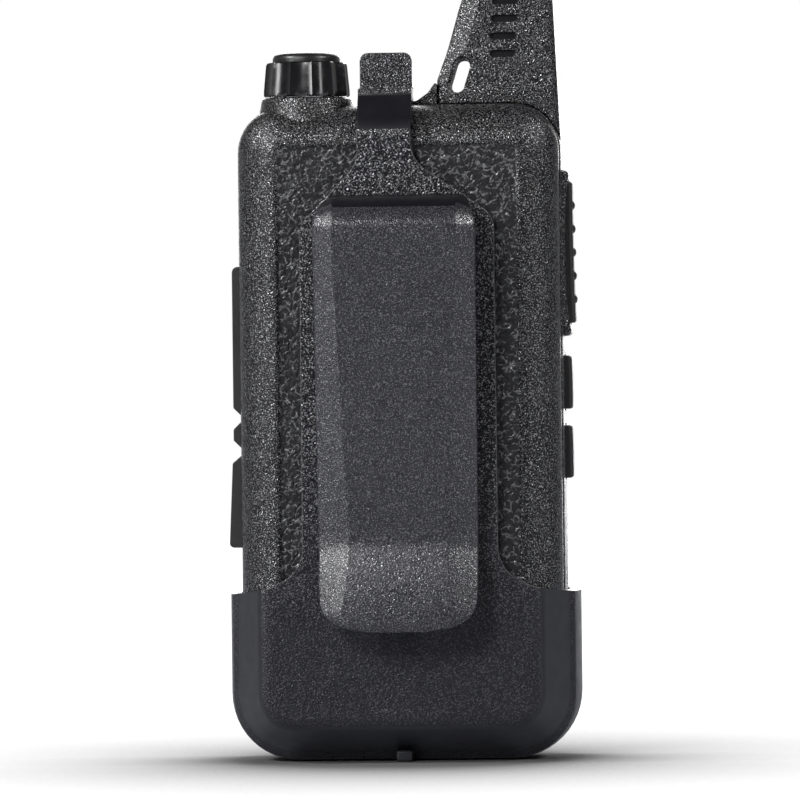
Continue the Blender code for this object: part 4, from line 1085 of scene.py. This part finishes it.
def floor():
    bm = bmesh.new()
    bmesh.ops.create_grid(bm, x_segments=1, y_segments=1, size=6.0)
    mesh = bpy.data.meshes.new("floor")
    bm.to_mesh(mesh)
    bm.free()
    obj = link("floor", mesh)
    n = Nodes("pale_floor")
    n.shader.inputs["Roughness"].default_value = 0.9
    n.shader.inputs["Specular IOR Level"].default_value = 0.0
    n.shader.inputs["Emission Color"].default_value = (1.0, 1.0, 1.0, 1.0)
    # The floor's glow to the camera is dimmed by ambient occlusion near the radio: a painted contact shadow.
    painted_shadow_ao = n.add("ShaderNodeAmbientOcclusion")
    painted_shadow_ao.samples = 16
    painted_shadow_ao.inputs["Distance"].default_value = 0.11
    seen = n.add("ShaderNodeLightPath").outputs["Is Camera Ray"]
    n.link(n.mix(seen, (0.3, 0.305, 0.33), (0.12, 0.12, 0.12)), n.shader.inputs["Base Color"])
    glow_with_painted_shadow = n.maths("POWER", n.ranged(painted_shadow_ao.outputs["AO"], 0.55, 0.99, 0.0, 1.0), 1.8)
    n.link(n.maths("MULTIPLY", glow_with_painted_shadow, seen), n.shader.inputs["Emission Strength"])
    mesh.materials.append(n.material)
    return obj


def area_light(name, where, target, size, power, size_y=None, only=None):
    data = bpy.data.lights.new(name, "AREA")
    data.energy = power
    data.shape = "RECTANGLE"
    data.size = size
    data.size_y = size_y or size
    obj = bpy.data.objects.new(name, data)
    bpy.context.scene.collection.objects.link(obj)
    obj.location = where
    obj.rotation_mode = "QUATERNION"
    obj.rotation_quaternion = (Vector(target) - Vector(where)).to_track_quat("-Z", "Y")
    if only:
        lit = bpy.data.collections.new(name + "_lit")
        lit.objects.link(only)
        obj.light_linking.receiver_collection = lit
    return obj


# Name, place, width, watts and height where that differs from the width.
LIGHTS = (
    ("key", (0.46, 0.98, 0.66), 0.3, 7, None),
    ("left_strip", (0.93, 0.75, 0.25), 0.2, 4.5, 0.8),
    ("right_strip", (-0.93, 0.75, 0.25), 0.2, 2, 0.8),
    ("left_high", (0.83, 0.41, 0.82), 0.22, 9, None),
    ("right_high", (-0.83, 0.41, 0.82), 0.22, 6, None),
    ("front_key", (-0.1, -1.15, 0.7), 0.8, 7, None),
    ("front_fill", (0.0, -1.2, 0.15), 0.6, 7, 0.8),
)


def studio(ground):
    for name, where, size, power, size_y in LIGHTS:
        area_light(name, where, (0.0, 0.0, 0.06), size, power, size_y)
    area_light("floor_light", (0.0, -0.3, 1.2), (0.0, 0.0, 0.0), 1.2, 9, only=ground)


# What the world lends to reflections, as (from, to, strength at from, strength at to) along Y or Z of the direction.
BEHIND = (-0.5, 0.0, 0.42, 0.07)
FAR_WALL = (-0.99, -0.9, 1.6, 0.0)
CEILING = (0.1, 0.6, 1.0, 0.12)


def world():
    """White to the camera. What it lends to reflections is dim, except for the bright wall behind the object."""
    made = bpy.data.worlds.new("studio")
    bpy.context.scene.world = made
    made.use_nodes = True
    tree = made.node_tree
    tree.nodes.clear()
    output = tree.nodes.new("ShaderNodeOutputWorld")
    seen = tree.nodes.new("ShaderNodeBackground")
    seen.inputs["Color"].default_value = (1.0, 1.0, 1.0, 1.0)
    seen.inputs["Strength"].default_value = 1.0
    lit = tree.nodes.new("ShaderNodeBackground")
    direction = tree.nodes.new("ShaderNodeTexCoord")
    split = tree.nodes.new("ShaderNodeSeparateXYZ")
    tree.links.new(direction.outputs["Generated"], split.inputs[0])

    def ramp(axis, span, target):
        node = tree.nodes.new("ShaderNodeMapRange")
        for key, number in zip(("From Min", "From Max", "To Min", "To Max"), span):
            node.inputs[key].default_value = number
        tree.links.new(split.outputs[axis], node.inputs["Value"])
        tree.links.new(node.outputs["Result"], target)

    total = tree.nodes.new("ShaderNodeMath")
    ramp("Y", BEHIND, total.inputs[0])
    ramp("Y", FAR_WALL, total.inputs[1])
    shaded = tree.nodes.new("ShaderNodeMath")
    shaded.operation = "MULTIPLY"
    tree.links.new(total.outputs[0], shaded.inputs[0])
    ramp("Z", CEILING, shaded.inputs[1])
    tree.links.new(shaded.outputs[0], lit.inputs["Strength"])
    path = tree.nodes.new("ShaderNodeLightPath")
    mix = tree.nodes.new("ShaderNodeMixShader")
    tree.links.new(path.outputs["Is Camera Ray"], mix.inputs[0])
    tree.links.new(lit.outputs[0], mix.inputs[1])
    tree.links.new(seen.outputs[0], mix.inputs[2])
    tree.links.new(mix.outputs[0], output.inputs["Surface"])


CAMERA_TARGET = (-0.00025, 0.0125, 0.0553)
CAMERA_YAW = 3.3
CAMERA_RISE = 0.3
CAMERA_ROLL = -0.67
CAMERA_DISTANCE = 1.0
VIEW_WIDTH = 0.1215


def camera():
    data = bpy.data.cameras.new("camera")
    obj = bpy.data.objects.new("camera", data)
    bpy.context.scene.collection.objects.link(obj)
    yaw, rise = math.radians(CAMERA_YAW), math.radians(CAMERA_RISE)
    back = Vector((-math.sin(yaw) * math.cos(rise), math.cos(yaw) * math.cos(rise), math.sin(rise)))
    obj.location = Vector(CAMERA_TARGET) + back * CAMERA_DISTANCE
    obj.rotation_mode = "QUATERNION"
    turn = (-back).to_track_quat("-Z", "Y")
    obj.rotation_quaternion = turn @ Matrix.Rotation(math.radians(CAMERA_ROLL), 3, "Z").to_quaternion()
    data.sensor_width = 36.0
    data.lens = 36.0 * CAMERA_DISTANCE / VIEW_WIDTH
    data.clip_start = 0.01
    data.clip_end = 20.0
    bpy.context.scene.camera = obj


finish_inner_nodes()
camera()
front_case()
battery_cover()
speaker_grille()
holster()
belt_clip()
antenna()
volume_knob()
talk_button()
side_keys()
socket_covers()
studio(floor())
world()
bpy.context.scene.view_settings.view_transform = "Standard"
